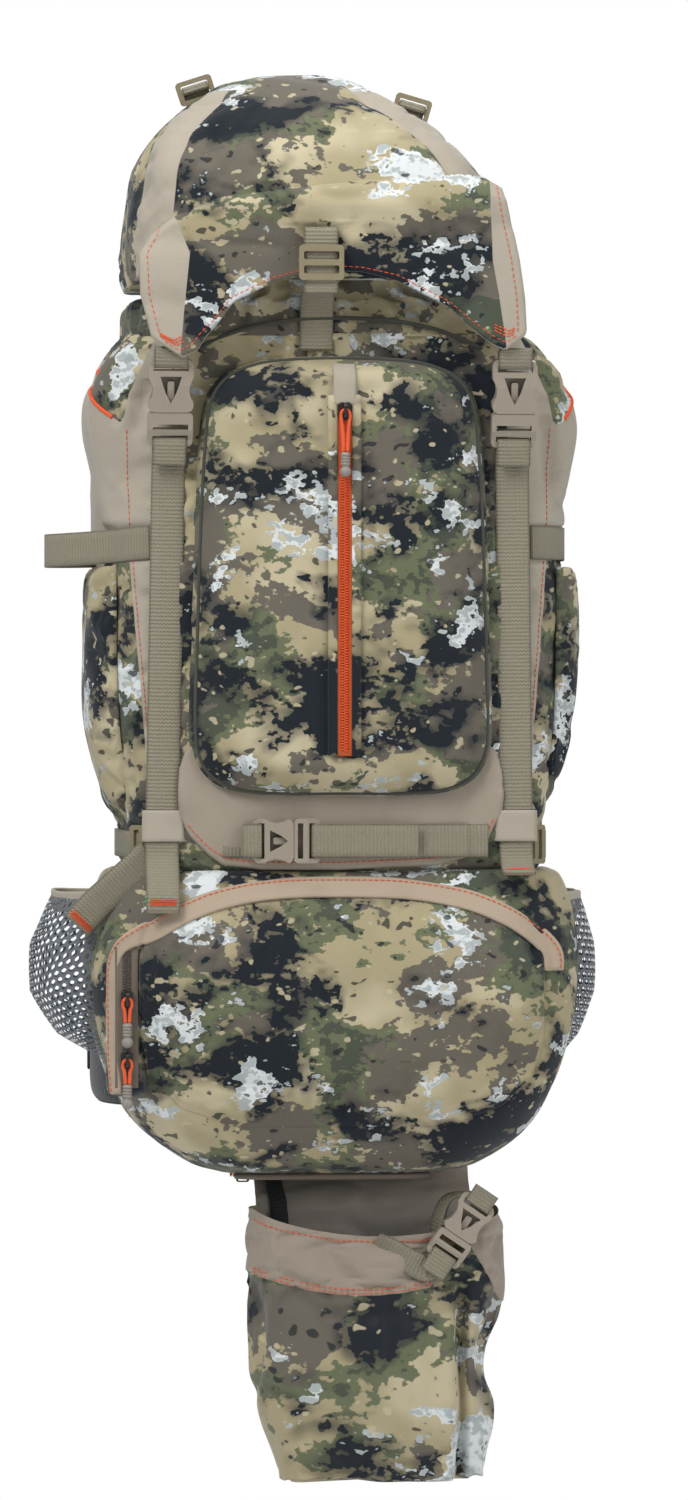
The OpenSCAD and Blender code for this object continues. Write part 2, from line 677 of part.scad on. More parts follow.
module bottom_compartment() {
    color(camo) difference() {
        vessel(base_sections, wall);
        door_shape(-9);
    }
}

door_t = 3;
door_gap = 0.8;
module compartment_door() {
    color(camo) intersection() {
        difference() {
            skin(stack(base_sections, door_gap + door_t));
            skin(stack(base_sections, door_gap));
        }
        door_shape();
    }
}

// Rain flap: the taupe band over the zip, ending low at both sides
rain_t = 2.5;
rain_foot = base_floor + 160;
module rain_flap() {
    color(taupe) intersection() {
        difference() {
            skin(stack(base_sections, seat + rain_t));
            skin(stack(base_sections, seat));
        }
        difference() {
            door_shape(rain_w);
            door_shape(1);
            translate([-base_half_w, bag_front - base_half_w, rain_foot - base_h])
                cube([2 * base_half_w, 2 * base_half_w, base_h]);
        }
    }
}

// Lower end of the compartment's zip at the left side, with its two sliders
base_zip_x = -door_half_w - 9;
zip_stand = 4;
base_zip_y = front_at(base_sections[5], base_zip_x + zip_w / 2) - zip_stand;
base_zip_top = rain_foot - 2;
base_zip_l = 92;
module base_zip() {
    color(orange) difference() {
        union() {
            translate([base_zip_x - zip_w / 2, base_zip_y - tape_t, base_zip_top - base_zip_l])
                cube([zip_w, tape_t + 24, base_zip_l]);
            translate([base_zip_x - coil_w / 2, base_zip_y - tape_t - coil_t, base_zip_top - base_zip_l])
                cube([coil_w, coil_t, base_zip_l]);
        }
        skin(stack(base_sections, seat));
    }
}
upper_slider_at = [base_zip_x, base_zip_y, base_zip_top - 28];
lower_slider_at = upper_slider_at - [0, 0, 45];
base_pull_l = 17;
module upper_slider() {
    color(steel) translate(upper_slider_at) zip_slider();
}
module upper_pull_cord() {
    color(orange) translate(eye(upper_slider_at)) cord_tube(cord_route(base_pull_l), cord_r);
}
module upper_pull_grip() {
    color(plastic) translate(eye(upper_slider_at) - [0, 0, base_pull_l + seat]) pull_grip();
}
module lower_slider() {
    color(steel) translate(lower_slider_at) zip_slider();
}
module lower_pull_cord() {
    color(orange) translate(eye(lower_slider_at)) cord_tube(cord_route(base_pull_l), cord_r);
}
module lower_pull_grip() {
    color(plastic) translate(eye(lower_slider_at) - [0, 0, base_pull_l + seat]) pull_grip();
}

// Pockets and straps at the sides

mesh_mid_y = bag_back - 116;
mesh_top = base_top - 17;
function mesh_section(s, z, out, d) = let (x0 = base_half_w - 50, x1 = base_half_w + out)
    [z, s * (x0 + x1) / 2, (x1 - x0) / 2, mesh_mid_y - d / 2, mesh_mid_y + d / 2, 26];
module mesh_pocket(s, out) {
    sections = [
        mesh_section(s, mesh_top - mesh_h, out * 0.12, mesh_d - 40),
        mesh_section(s, mesh_top - mesh_h * 0.86, out * 0.66, mesh_d - 14),
        mesh_section(s, mesh_top - mesh_h * 0.6, out, mesh_d),
        mesh_section(s, mesh_top - mesh_h * 0.3, out, mesh_d),
        mesh_section(s, mesh_top, out * 0.74, mesh_d - 10)];
    color(mesh_grey) difference() {
        vessel(sections, wall);
        skin(stack(base_sections, seat));
    }
}
module mesh_pocket_left() {
    mesh_pocket(-1, mesh_out);
}
module mesh_pocket_right() {
    mesh_pocket(1, mesh_out_right);
}

// Slim pockets sewn on the flat sides of the bag, with an open mouth at the top
slim_top = shoulder_z[0] - 58;
slim_foot = bag_floor + 34;
slim_mid_y = bag_back - 125;
slim_wall = 2;
function bag_side(z) = lookup(z, [for (s = bag_sections) [s[0], s[2]]]);
function slim_section(z, out, d) = let (x0 = foot_half - 30, x1 = bag_side(z) + out)
    [z, (x0 + x1) / 2, (x1 - x0) / 2, slim_mid_y - d / 2, slim_mid_y + d / 2, 12];
slim_sections = [
    slim_section(slim_foot, 1.5, slim_d - 50),
    slim_section(slim_foot + 22, slim_t * 0.7, slim_d - 16),
    slim_section(slim_foot + 70, slim_t, slim_d),
    slim_section(slim_top - 60, slim_t, slim_d),
    slim_section(slim_top, slim_t * 0.85, slim_d)];
module side_pockets() {
    color(camo) both_sides() difference() {
        vessel(slim_sections, slim_wall);
        skin(stack(bag_sections, seat));
    }
}

// Path round the bag's front corner at a distance out from its surface, by the angle from the side
function round_corner(angles, out, r = bag_corner_r) = [for (a = angles)
    [bag_half_w - bag_corner_r, bag_front + r] + (r + out) * [cos(a), -sin(a)]];
web_out = seat + web_t / 2;
side_x = bag_half_w + web_out;
upper_strap_z = shoulder_z[0] - 40;
lower_strap_z = bag_floor + 21;
loop_out = 43;
loop_l = 88;
lock_y = bag_back - 62;
lock_h = 24;
loop_end = lock_y - lock_h / 2 - 10;
strap_end = bag_back - 40;
loop_shape = [[0.33, 1], [0.77, 0.77], [1, 0.57], [0.81, 0.36], [0.33, 0.18], [0, 0]];
slack = concat(
    round_corner([60, 52, 44, 36, 28], web_out),
    [for (p = loop_shape) [side_x + loop_out * p[0], loop_end - loop_l * p[1]]],
    [[side_x, strap_end]]);
snug_angles = [58, 48, 38, 28, 18, 9, 0];
snug = concat(round_corner(snug_angles, web_out), [[side_x, strap_end]]);
snug_low = concat(round_corner(snug_angles, web_out, foot_r), [[foot_half + web_out, strap_end]]);
module side_straps() {
    color(khaki) {
        mirror([1, 0, 0]) ribbon_xy(slack, web_t, web_w, upper_strap_z);
        ribbon_xy(snug, web_t, web_w, upper_strap_z);
        both_sides() ribbon_xy(snug_low, web_t, web_w - 4, lower_strap_z);
    }
}

// Three-bar adjusters on the side straps
lock_t = 3;
lock_angle = 40;
module ladder_locks() {
    r = round_corner([lock_angle], web_out + web_t / 2 + seat + lock_t / 2, foot_r)[0];
    color(plastic) both_sides() {
        translate([r.x, r.y, lower_strap_z]) rotate([0, 0, 90 - lock_angle]) rotate([0, 90, 0])
            slide_buckle(web_w - 4, lock_h, lock_t);
        translate([side_x + web_t / 2 + seat + lock_t / 2, lock_y, upper_strap_z]) rotate([0, 0, 90])
            rotate([0, 90, 0]) slide_buckle(web_w, lock_h, lock_t);
    }
}

// Holding strap on the front, folded back through a three-bar slide
limb_x = -18;
flap_front = lid_front - seat - flap_t;
limb_path = [[strap_y, pocket_top + 4], [strap_y, bag_rim + 10], [bag_front - 12, bag_rim + 28],
    [flap_front + 2, peak_z - 14], [flap_front - 2.2, peak_z - 4], [flap_front - 2.2, peak_z + 26],
    [flap_front - 4.7, peak_z + 30], [flap_front - 7.2, peak_z + 26], [flap_front - 7.2, peak_z - 18]];
module limb_strap() {
    color(khaki) ribbon_yz(limb_path, web_t, web_w, limb_x);
}
module limb_slide() {
    color(khaki) translate([limb_x, flap_front - 8.7 - web_t / 2 - seat, peak_z + 4])
        slide_buckle(web_w, 26);
}

// Boot below the bottom compartment

boot_x = 30;
boot_hinge_y = base_front + 112;
boot_top = base_floor - liner_h - 5;
boot_mid_y = boot_hinge_y - boot_d / 2 - 4;
boot_pivot = [boot_hinge_y + 11, base_floor - 0.7];
boot_half = boot_w / 2;
function boot_section(drop, shift, narrow, deep, r) =
    [boot_top - boot_h * drop, boot_x - shift, boot_half - narrow,
     boot_mid_y - boot_d * deep, boot_mid_y + boot_d * deep, r];
boot_sections = [
    boot_section(1, 4, 18, 0.3, 14),
    boot_section(0.94, 2, 10, 0.42, 20),
    boot_section(0.6, 0, 3, 0.5, 24),
    boot_section(0.3, 0, 0, 0.5, 24),
    boot_section(0, 0, 0, 0.5, 24)];
module boot_pouch() {
    color(camo) vessel(boot_sections, wall);
}

boot_zip_half = 76;
module boot_zip() {
    color(khaki) translate([0, boot_hinge_y, base_floor - seat]) {
        translate([-boot_zip_half, -zip_w / 2, -tape_t]) cube([2 * boot_zip_half, zip_w, tape_t]);
        translate([-boot_zip_half, -coil_w / 2, -tape_t - coil_t])
            cube([2 * boot_zip_half, coil_w, coil_t]);
    }
}
// Slider of the boot's zip, lying under the compartment in front of the liner
boot_slider_at = [-boot_zip_half + 10, boot_hinge_y, base_floor - seat];
module boot_slider() {
    color(steel) translate(boot_slider_at) rotate([90, 0, 90]) zip_slider();
}
// Thin liner from the zip down to the back of the pouch
liner_t = 1.6;
module boot_liner() {
    rear = boot_mid_y + boot_d / 2 + seat + liner_t / 2;
    path = [boot_pivot, boot_pivot - [0.5, 8], [rear, boot_top + 2], [rear, boot_top - 24]];
    color(taupe) ribbon_yz(path, liner_t, boot_w - 40, boot_x - 6);
}

// Buckled strap across the boot's hem
boot_buckle_at = [boot_x + 58, boot_mid_y - boot_d / 2 - 0.9 - buckle_t / 2, boot_top - 20];
boot_buckle_turn = 34;
boot_web_w = 20;
boot_socket_l = 32;
boot_plug_l = 22;
module at_boot_buckle() {
    translate(boot_buckle_at) rotate([0, boot_buckle_turn, 0]) children();
}
module boot_buckle() {
    color(plastic) at_boot_buckle() {
        socket(boot_web_w, boot_socket_l);
        plug(boot_web_w, boot_plug_l, boot_socket_l);
    }
}
module boot_strap() {
    rear = plug_bar[1] + tab_gap + web_t / 2;
    front = plug_bar[0] - tab_gap - web_t / 2;
    fold = -boot_plug_l + bar_h + tab_gap + web_t / 2;
    up_rear = socket_bar[1] + tab_gap + web_t / 2;
    up_front = socket_bar[0] - tab_gap - web_t / 2;
    up_fold = boot_socket_l - bar_h - tab_gap - web_t / 2;
    color(khaki) at_boot_buckle() {
        ribbon_yz([[front, -40], [front, fold - 1.2], [front + 1.2, fold], [rear - 1.2, fold],
            [rear, fold - 1.2], [rear, -70]], web_t, boot_web_w);
        ribbon_yz([[up_front, 40], [up_front, up_fold + 1.2], [up_front + 1.2, up_fold],
            [up_rear - 1.2, up_fold], [up_rear, up_fold + 1.2], [up_rear, 44]], web_t, boot_web_w);
    }
}

// Frame and harness

module frame_sheet() {
    color(black) translate([0, bag_back + seat, panel_top - panel_h / 2]) rotate([90, 0, 180])
        linear_extrude(1.8) difference() {
            plate(panel_w - 20, panel_h - 24, 30);
            for (z = [-1, 1]) translate([0, z * panel_h * 0.28]) plate(60, 70, 12);
        }
}
stay_w = 19;
stay_t = 3;
stay_x = 62;
module frame_stays() {
    front = bag_back + seat + 1.8 + seat;
    color(steel) both_sides() translate([stay_x, front, panel_top - panel_h / 2]) rotate([90, 0, 180])
        linear_extrude(stay_t) plate(stay_w, panel_h - 30, 6);
}

// Foam back panel with a centre air channel and two cross channels
module back_panel() {
    groove = 8;
    channel_w = 46;
    channel_ends = 95;
    color(black) translate([0, panel_front, panel_top - panel_h / 2]) rotate([90, 0, 180]) difference() {
        linear_extrude(panel_t) plate(panel_w, panel_h, 36);
        translate([0, 0, panel_t]) cube([channel_w, panel_h - 2 * channel_ends, 2 * groove], center = true);
        for (z = [-0.22, 0.06])
            translate([0, z * panel_h, panel_t]) cube([panel_w + 2, 16, 2 * groove], center = true);
    }
}

// Haul loop: webbing standing up in an arch between two sewn feet
haul_half = 36;
haul_y = panel_back + seat + haul_w / 2;
haul_bend = haul_half + web_t / 2;
haul_path = concat(
    [[-haul_bend, -64]],
    [for (a = [180:-15:0]) [haul_bend * cos(a), haul_bend * sin(a) - haul_half]],
    [[haul_bend, -64]]);
module haul_loop() {
    color(khaki) ribbon_xz(haul_path, web_t, haul_w, haul_y);
}

// Shoulder straps, curved off the back panel and back to it
strap_in = panel_back + seat + shoulder_t / 2;
shoulder_shape = [
    [0, -86], [0, -62], [8, -46], [24, -40], [40, -48], [50, -70], [53, -104], [53, -236], [46, -306],
    [30, -370], [10, -412], [0, -430], [0, -452]];
shoulder_path = [for (p = shoulder_shape) [strap_in + p[0], p[1]]];
module shoulder_straps() {
    color(black) for (s = [-1, 1]) ribbon_yz(shoulder_path, shoulder_t, shoulder_w, s * shoulder_x);
}
lifter_path = [[strap_in + 41, -37.6], [strap_in + 25, -31], [strap_in + 6, -12],
    [panel_back + seat + web_t / 2, -6], [panel_back + seat + web_t / 2, panel_top - 8]];
module load_lifters() {
    color(black) for (s = [-1, 1]) ribbon_yz(lifter_path, web_t, 20, s * shoulder_x);
}

// Chest strap on its two rails
chest_web_w = 20;
rail_top = -110;
rail_l = 2 * chest_travel + chest_web_w + 24;
rail_base_t = 1.5;
rail_r = 2;
rail_y = strap_in + 53 + shoulder_t / 2 + seat + rail_base_t + rail_r - 0.5;
chest_z = rail_top - rail_l / 2;
chest_y = rail_y + 5;
module chest_rails() {
    color(black) both_sides() {
        translate([shoulder_x, rail_y, rail_top - rail_l / 2])
            cylinder(r = rail_r, h = rail_l, center = true);
        translate([shoulder_x, rail_y - rail_r + 0.5 - rail_base_t / 2, rail_top - rail_l / 2])
            cube([10, rail_base_t, rail_l], center = true);
    }
}
clip_gap = 0.4;
chest_mouth = -4;
chest_socket_l = 30;
chest_plug_l = 20;
module chest_buckle() {
    color(black) {
        both_sides() translate([shoulder_x, 0, chest_z]) difference() {
            translate([-1, rail_y + 2.5, 0]) cube([16, 7, chest_web_w], center = true);
            translate([0, rail_y, 0]) cylinder(r = rail_r + clip_gap, h = chest_web_w + 2, center = true);
        }
        translate([chest_mouth, chest_y, chest_z]) rotate([0, 90, 0]) {
            socket(chest_web_w, chest_socket_l);
            plug(chest_web_w, chest_plug_l, chest_socket_l);
        }
    }
}
module chest_strap() {
    right_bar = chest_mouth + chest_socket_l - bar_h;
    left_bar = chest_mouth - chest_plug_l + bar_h;
    clip_face = shoulder_x - 9 - seat;
    color(khaki) {
        ribbon_xy(
            folded(right_bar, chest_y + socket_bar[0], chest_y + socket_bar[1], clip_face, clip_face - 20),
            web_t, chest_web_w, chest_z);
        ribbon_xy(
            folded(left_bar, chest_y + plug_bar[0], chest_y + plug_bar[1], -clip_face, -clip_face + 20),
            web_t, chest_web_w, chest_z);
    }
}

// Hip belt: a lumbar pad with a wing hinged at each side
belt_low = panel_top - panel_h + 4;
belt_mid = belt_low + belt_h / 2;
pad_t = 20;
wing_hinge = [108, panel_back + seat + 10];
module lumbar_pad() {
    w = 2 * (wing_hinge.x - belt_t / 2 - seat);
    color(black) translate([0, panel_back + seat, belt_mid]) rotate([90, 0, 180]) linear_extrude(pad_t)
        plate(w, belt_h, 8);
}
wing_path = [wing_hinge, wing_hinge + [20, 8], wing_hinge + [42, 32], wing_hinge + [52, 70],
    wing_hinge + [50, 114], wing_hinge + [37, 154]];
belt_web_path = [wing_hinge + [60.4, 86], wing_hinge + [58.4, 116.6], wing_hinge + [45.4, 156.6],
    wing_hinge + [32, 182], wing_hinge + [12, 201], wing_hinge + [-18, 203]];
module hip_wing() {
    linear_extrude(belt_h) ribbon(wing_path, belt_t);
    translate(wing_hinge) cylinder(d = belt_t, h = belt_h);
}
module belt_web() {
    ribbon_xy(belt_web_path, web_t, belt_web_w, belt_mid);
}
module hip_wing_left() {
    mirror([1, 0, 0]) {
        color(black) translate([0, 0, belt_low]) hip_wing();
        color(black) belt_web();
    }
}
module hip_wing_right() {
    color(black) translate([0, 0, belt_low]) hip_wing();
    color(black) belt_web();
}
belt_end = belt_web_path[5];
belt_face = belt_end.y + web_t / 2 + 0.4;
module hip_plug() {
    color(black) translate([belt_end.x - plug_len + 3 + bar_h, belt_face - plug_bar[0], belt_mid])
        rotate([0, -90, 0]) plug(belt_web_w);
}
module hip_socket() {
    color(black) translate([-belt_end.x + socket_len - 3 - bar_h, belt_face - socket_bar[0], belt_mid])
        rotate([0, -90, 0]) socket(belt_web_w);
}

main_bag();
collar();
lid_dome();
lid_back();
hinge_roll();
lid_flap();
lid_sockets();
lid_tabs();
lid_slides();
lid_loop_tabs();
lid_plugs();
lid_straps();
strap_keepers();
front_pocket();
front_zip();
front_slider();
front_pull_cord();
front_pull_grip();
boat_flap();
front_socket();
front_plug();
front_strap_loop();
front_anchors();
bottom_compartment();
compartment_door();
rain_flap();
base_zip();
upper_slider();
upper_pull_cord();
upper_pull_grip();
lower_slider();
lower_pull_cord();
lower_pull_grip();
mesh_pocket_left();
mesh_pocket_right();
side_pockets();
side_straps();
ladder_locks();
limb_strap();
limb_slide();
boot_zip();
boot_slider();
boot_liner();
boot_pouch();
boot_strap();
boot_buckle();
back_panel();
frame_sheet();
frame_stays();
haul_loop();
shoulder_straps();
load_lifters();
chest_rails();
chest_strap();
chest_buckle();
lumbar_pad();
hip_wing_left();
hip_wing_right();
hip_plug();
hip_socket();
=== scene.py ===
"""A hunting backpack in camouflage cloth: a tall main bag under a domed lid, a zipped front pocket, a bottom
compartment behind a zipped door, mesh side pockets and a fold-out boot for the foot of a long load."""
import math

import bpy
import numpy as np
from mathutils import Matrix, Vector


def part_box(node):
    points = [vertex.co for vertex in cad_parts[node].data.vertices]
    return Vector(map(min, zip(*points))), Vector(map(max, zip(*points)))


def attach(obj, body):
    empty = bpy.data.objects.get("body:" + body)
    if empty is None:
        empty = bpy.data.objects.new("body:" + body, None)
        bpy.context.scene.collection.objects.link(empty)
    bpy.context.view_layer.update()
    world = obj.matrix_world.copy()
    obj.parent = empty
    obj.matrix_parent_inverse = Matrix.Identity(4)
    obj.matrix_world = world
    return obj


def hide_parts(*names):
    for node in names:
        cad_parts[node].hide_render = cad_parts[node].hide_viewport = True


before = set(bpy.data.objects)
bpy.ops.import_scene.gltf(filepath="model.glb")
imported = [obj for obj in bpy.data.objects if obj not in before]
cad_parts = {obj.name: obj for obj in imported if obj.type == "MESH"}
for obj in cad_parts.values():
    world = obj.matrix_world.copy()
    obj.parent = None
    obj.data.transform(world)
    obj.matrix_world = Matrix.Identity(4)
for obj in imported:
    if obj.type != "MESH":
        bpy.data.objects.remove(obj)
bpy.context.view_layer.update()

# Stage: a long lens looks level at the pack's front, 5 degrees from its left. A row of the picture is 0.75 mm
# there. White floor and white backdrop, lit by large soft lamps as in a catalogue picture.
scene = bpy.context.scene
scene.view_settings.view_transform = "Standard"
PICTURE_HIGH = 1.125          # metres that the picture's height spans at the pack's middle
AIM_X, AIM_Z = 0.0015, -0.304
FRONT_Y = -0.274
MIDDLE = 0.09                 # from the front to the pack's middle
DISTANCE = 5.2
YAW = math.radians(5)
SENSOR = 36                   # millimetres
camera = bpy.data.objects.new("camera", bpy.data.cameras.new("camera"))
scene.collection.objects.link(camera)
camera.location = (AIM_X - DISTANCE * math.sin(YAW), FRONT_Y - DISTANCE * math.cos(YAW), AIM_Z)
camera.rotation_euler = (math.pi / 2, 0, -YAW)
camera.data.sensor_width = SENSOR
camera.data.lens = SENSOR * (DISTANCE + MIDDLE) / PICTURE_HIGH
scene.camera = camera


def linear(code):
    """An sRGB hex code as the linear colour that shaders take."""
    c = np.array([int(code[i:i + 2], 16) for i in (1, 3, 5)]) / 255
    return (*np.where(c <= 0.04045, c / 12.92, ((c + 0.055) / 1.055) ** 2.4).tolist(), 1.0)


def put(tree, kind, feeds=None, **settings):
    """Adds one shader node with its settings, and fills its sockets with values or links."""
    made = tree.nodes.new("ShaderNode" + kind)
    for key, value in settings.items():
        setattr(made, key, value)
    for socket, value in (feeds or {}).items():
        if isinstance(value, bpy.types.NodeSocket):
            tree.links.new(value, made.inputs[socket])
        else:
            made.inputs[socket].default_value = value
    return made


def fresh(name):
    """An empty node material, with its tree."""
    made = bpy.data.materials.new(name)
    made.use_nodes = True
    made.node_tree.nodes.clear()
    return made, made.node_tree


def white_to_camera(tree, diffuse):
    """White where the camera looks at it, and a plain bouncing surface for every other ray."""
    path = put(tree, "LightPath")
    glow = put(tree, "Emission", {"Color": (1, 1, 1, 1), "Strength": 1.0})
    feeds = {0: path.outputs["Is Camera Ray"], 1: diffuse, 2: glow.outputs[0]}
    return put(tree, "MixShader", feeds).outputs[0]


floor_paper, tree = fresh("floor_paper")
paper = put(tree, "BsdfDiffuse", {"Color": (0.8, 0.8, 0.8, 1)})
put(tree, "OutputMaterial", {"Surface": white_to_camera(tree, paper.outputs[0])})
FLOOR_Z, FLOOR_HALF = -0.9, 6
corners = [(-1, -1), (1, -1), (1, 1), (-1, 1)]
floor_mesh = bpy.data.meshes.new("floor")
floor_mesh.from_pydata([(x * FLOOR_HALF, y * FLOOR_HALF, FLOOR_Z) for x, y in corners], [], [(0, 1, 2, 3)])
floor_mesh.materials.append(floor_paper)
floor = bpy.data.objects.new("floor", floor_mesh)
scene.collection.objects.link(floor)

world = bpy.data.worlds.new("studio")
scene.world = world
world.use_nodes = True
world.node_tree.nodes.clear()
path = put(world.node_tree, "LightPath")
seen = put(world.node_tree, "Background", {"Color": (1, 1, 1, 1), "Strength": 1.0})
room = put(world.node_tree, "Background", {"Color": (0.93, 0.97, 1, 1), "Strength": 0.36})
put(world.node_tree, "OutputWorld", {"Surface": put(world.node_tree, "MixShader", {
    0: path.outputs["Is Camera Ray"], 1: room.outputs[0], 2: seen.outputs[0]}).outputs[0]})


def lamp(name, place, aim, size, watts):
    """A square soft box that looks at a point."""
    data = bpy.data.lights.new(name, "AREA")
    data.size = size
    data.energy = watts
    made = bpy.data.objects.new(name, data)
    scene.collection.objects.link(made)
    made.location = place
    heading = np.array(aim) - np.array(place)
    turn = math.atan2(heading[1], heading[0]) - math.pi / 2
    drop = math.atan2(heading[2], math.hypot(heading[0], heading[1]))
    made.rotation_euler = (math.pi / 2 + drop, 0, turn)


lamp("key_left", (-1.4, -1.9, 1.7), (0, -0.15, -0.25), 1.1, 54)
lamp("fill_right", (2.2, -2.0, 0.3), (0, -0.15, -0.35), 1.6, 22)
lamp("top_box", (0.1, -0.7, 1.9), (0, -0.15, 0), 1.2, 20)
lamp("back_box", (0.4, 2.6, 0.9), (0, 0, -0.3), 1.6, 40)

# Zip pulls: loops of orange cord through the sliders' eyes, with their ends moulded into grey grips.
# The cord is a 2.6 mm braid, and each loop hangs straight down from its slider.
ORANGE = "#E0531F"


def finish_of(name, colour, rough, bump=None, depth=0.0, **sockets):
    """A plain painted, woven or moulded surface; bump is a function that builds a height socket, and depth is
    that height in metres."""
    made, tree = fresh(name)
    feeds = {"Base Color": linear(colour), "Roughness": rough}
    feeds.update({key.replace("_", " "): value for key, value in sockets.items()})
    if bump:
        relief = {"Height": bump(tree), "Distance": depth, "Strength": 1.0}
        feeds["Normal"] = put(tree, "Bump", relief).outputs[0]
    put(tree, "OutputMaterial", {"Surface": put(tree, "BsdfPrincipled", feeds).outputs[0]})
    return made


def grain(size):
    """Builds the height of a fine uneven grain of that size in metres, read in object space."""
    def build(tree):
        """Noise at that scale, as a height socket."""
        place = put(tree, "TexCoord").outputs["Object"]
        return put(tree, "TexNoise", {"Vector": place, "Scale": 1 / size, "Detail": 2.0}).outputs[0]
    return build


def along(points, count):
    """Catmull-Rom curve through the points, in any number of columns, at even steps of length."""
    p = np.asarray(points, float)
    ends = np.vstack([2 * p[0] - p[1], p, 2 * p[-1] - p[-2]])
    t = np.linspace(0, len(p) - 1, len(p) * 40)
    i = np.minimum(t.astype(int), len(p) - 2)
    f = (t - i)[:, None]
    a, b, c, d = ends[i], ends[i + 1], ends[i + 2], ends[i + 3]
    fine = 0.5 * (2 * b + (c - a) * f + (2 * a - 5 * b + 4 * c - d) * f ** 2
                  + (3 * b - a - 3 * c + d) * f ** 3)
    run = np.append(0, np.cumsum(np.linalg.norm(np.diff(fine, axis=0), axis=1)))
    return np.stack([np.interp(np.linspace(0, run[-1], count), run, column) for column in fine.T], 1)


# The pieces are drawn from the harness plane, which lies this far in front of the haul loop.
HANG = np.array([0, 34.3, 0])


def piece(name, points, faces, material):
    """A mesh object at the origin, from points in millimetres."""
    mesh = bpy.data.meshes.new(name)
    mesh.from_pydata(((np.asarray(points) - HANG) * 0.001).tolist(), [], [tuple(f) for f in faces])
    mesh.materials.append(material)
    mesh.polygons.foreach_set("use_smooth", np.ones(len(mesh.polygons), bool))
    mesh.update()
    made = bpy.data.objects.new(name, mesh)
    scene.collection.objects.link(made)
    return made


def quads(rows, cols, wrap=False):
    """Faces of a grid of rows by cols points, row after row; wrap joins the last column to the first."""
    r, c = np.meshgrid(np.arange(rows - 1), np.arange(cols if wrap else cols - 1), indexing="ij")
    r, c, n = r.ravel(), c.ravel(), (c.ravel() + 1) % cols
    return np.stack([r * cols + c, r * cols + n, (r + 1) * cols + n, (r + 1) * cols + c], 1).tolist()


def unit(v):
    """Each vector divided by its length."""
    return v / np.maximum(np.linalg.norm(v, axis=-1, keepdims=True), 1e-9)


def tube(path, radius, sides=8, closed=False):
    """Points and faces of a round tube along a path, with capped ends, each ring square to the run."""
    p = np.asarray(path, float)
    run = unit(np.roll(p, -1, 0) - np.roll(p, 1, 0) if closed else np.gradient(p, axis=0))
    side = np.zeros_like(run)
    helper = np.array([0.0, 1.0, 0.0]) if abs(run[0][1]) < 0.9 else np.array([1.0, 0.0, 0.0])
    for i in range(len(p)):
        helper = helper - run[i] * helper.dot(run[i])
        helper = helper / np.linalg.norm(helper)
        side[i] = helper
    other = np.cross(run, side)
    a = np.arange(sides) * 2 * np.pi / sides
    reach = np.broadcast_to(np.asarray(radius, float), (len(p),))[:, None, None]
    ring = p[:, None] + reach * (np.cos(a)[:, None] * side[:, None] + np.sin(a)[:, None] * other[:, None])
    faces = quads(len(p), sides, True)
    if closed:
        last = (len(p) - 1) * sides
        faces += [(last + k, last + (k + 1) % sides, (k + 1) % sides, k) for k in range(sides)]
    else:
        faces += [list(range(sides))[::-1], list(range((len(p) - 1) * sides, len(p) * sides))]
    return ring.reshape(-1, 3), faces


def together(parts):
    """Several (points, faces) as one."""
    points, faces, count = [], [], 0
    for p, f in parts:
        p = np.asarray(p).reshape(-1, 3)
        points.append(p)
        faces += [[k + count for k in face] for face in f]
        count += len(p)
    return np.vstack(points), faces


cord_braid = finish_of("cord_braid", ORANGE, 0.7, grain(0.0016), 0.0006, Sheen_Weight=0.25)
CORD_R = 1.3
CREST = 0.9     # the loop's top above the slider's eye


def pull_loop(name, drop, body):
    """One loop: up from the grip, over the slider's bar and down again, a curve in one upright plane."""
    low, high = (np.array(corner) * 1000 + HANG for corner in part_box(f"{name}_pull_cord"))
    eye = np.array([(low[0] + high[0]) / 2, (low[1] + high[1]) / 2, high[2] - CORD_R - CREST])
    half = np.array([(-1.5, 0, -drop), (-1.8, 0, -drop * 0.7), (-2.3, 0, -drop * 0.4), (-3.2, 0, -5),
                     (-2.9, 0, -1.2), (-1.6, 0, 0.4), (0, 0, CREST)])
    route = along(np.vstack([half, half[-2::-1] * (-1, 1, 1)]) + eye, 60)
    made = piece(f"{name}_zip_cord", *tube(route, CORD_R, 10), cord_braid)
    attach(made, body)
    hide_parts(f"{name}_pull_cord")
    route = (route - HANG) * 0.001


pull_loop("front", 30, "front_slider")
pull_loop("upper", 17, "upper_slider")
pull_loop("lower", 17, "lower_slider")

# Main bag: a tall sack of brushed polyester in camouflage cloth, sewn to the back panel. A plain taupe strip
# runs down each front corner beside the lid straps, and widens over the top of the sides below an orange zip.
TAUPE = "#A79E8F"
CAMO = {"tan": "#A39878", "straw": "#B9AE90", "olive": "#656A50", "moss": "#484E40", "bark": "#655F54",
        "coal": "#161D24", "ash": "#D2D6D6"}
STRIP_X = 124                                   # inner edge of the taupe strips
UPPER_STRAP_Z, LOWER_STRAP_Z = -150, -374       # where the side straps go round
# Sections from below up: z, middle, half width, front, back, corner.
BAG = [(-395.3, 0, 147, -221, -4, 40), (-388, 0, 153, -227, -4, 45), (-374, 0, 154, -228, -4, 46),
       (-361, 0, 154.5, -228, -4, 46.5), (-332, 0, 160.5, -228, -4, 52.5), (-298, 0, 167, -228, -4, 59),
       (-250, 0, 170, -228.5, -4, 62), (-180, 0, 170.5, -229, -4, 62), (-110, 0, 170, -228, -4, 62),
       (-60, 0, 177.5, -228, -4, 62), (-25, -3.5, 169.5, -228, -4, 56), (4, -7, 148, -228, -4, 40)]


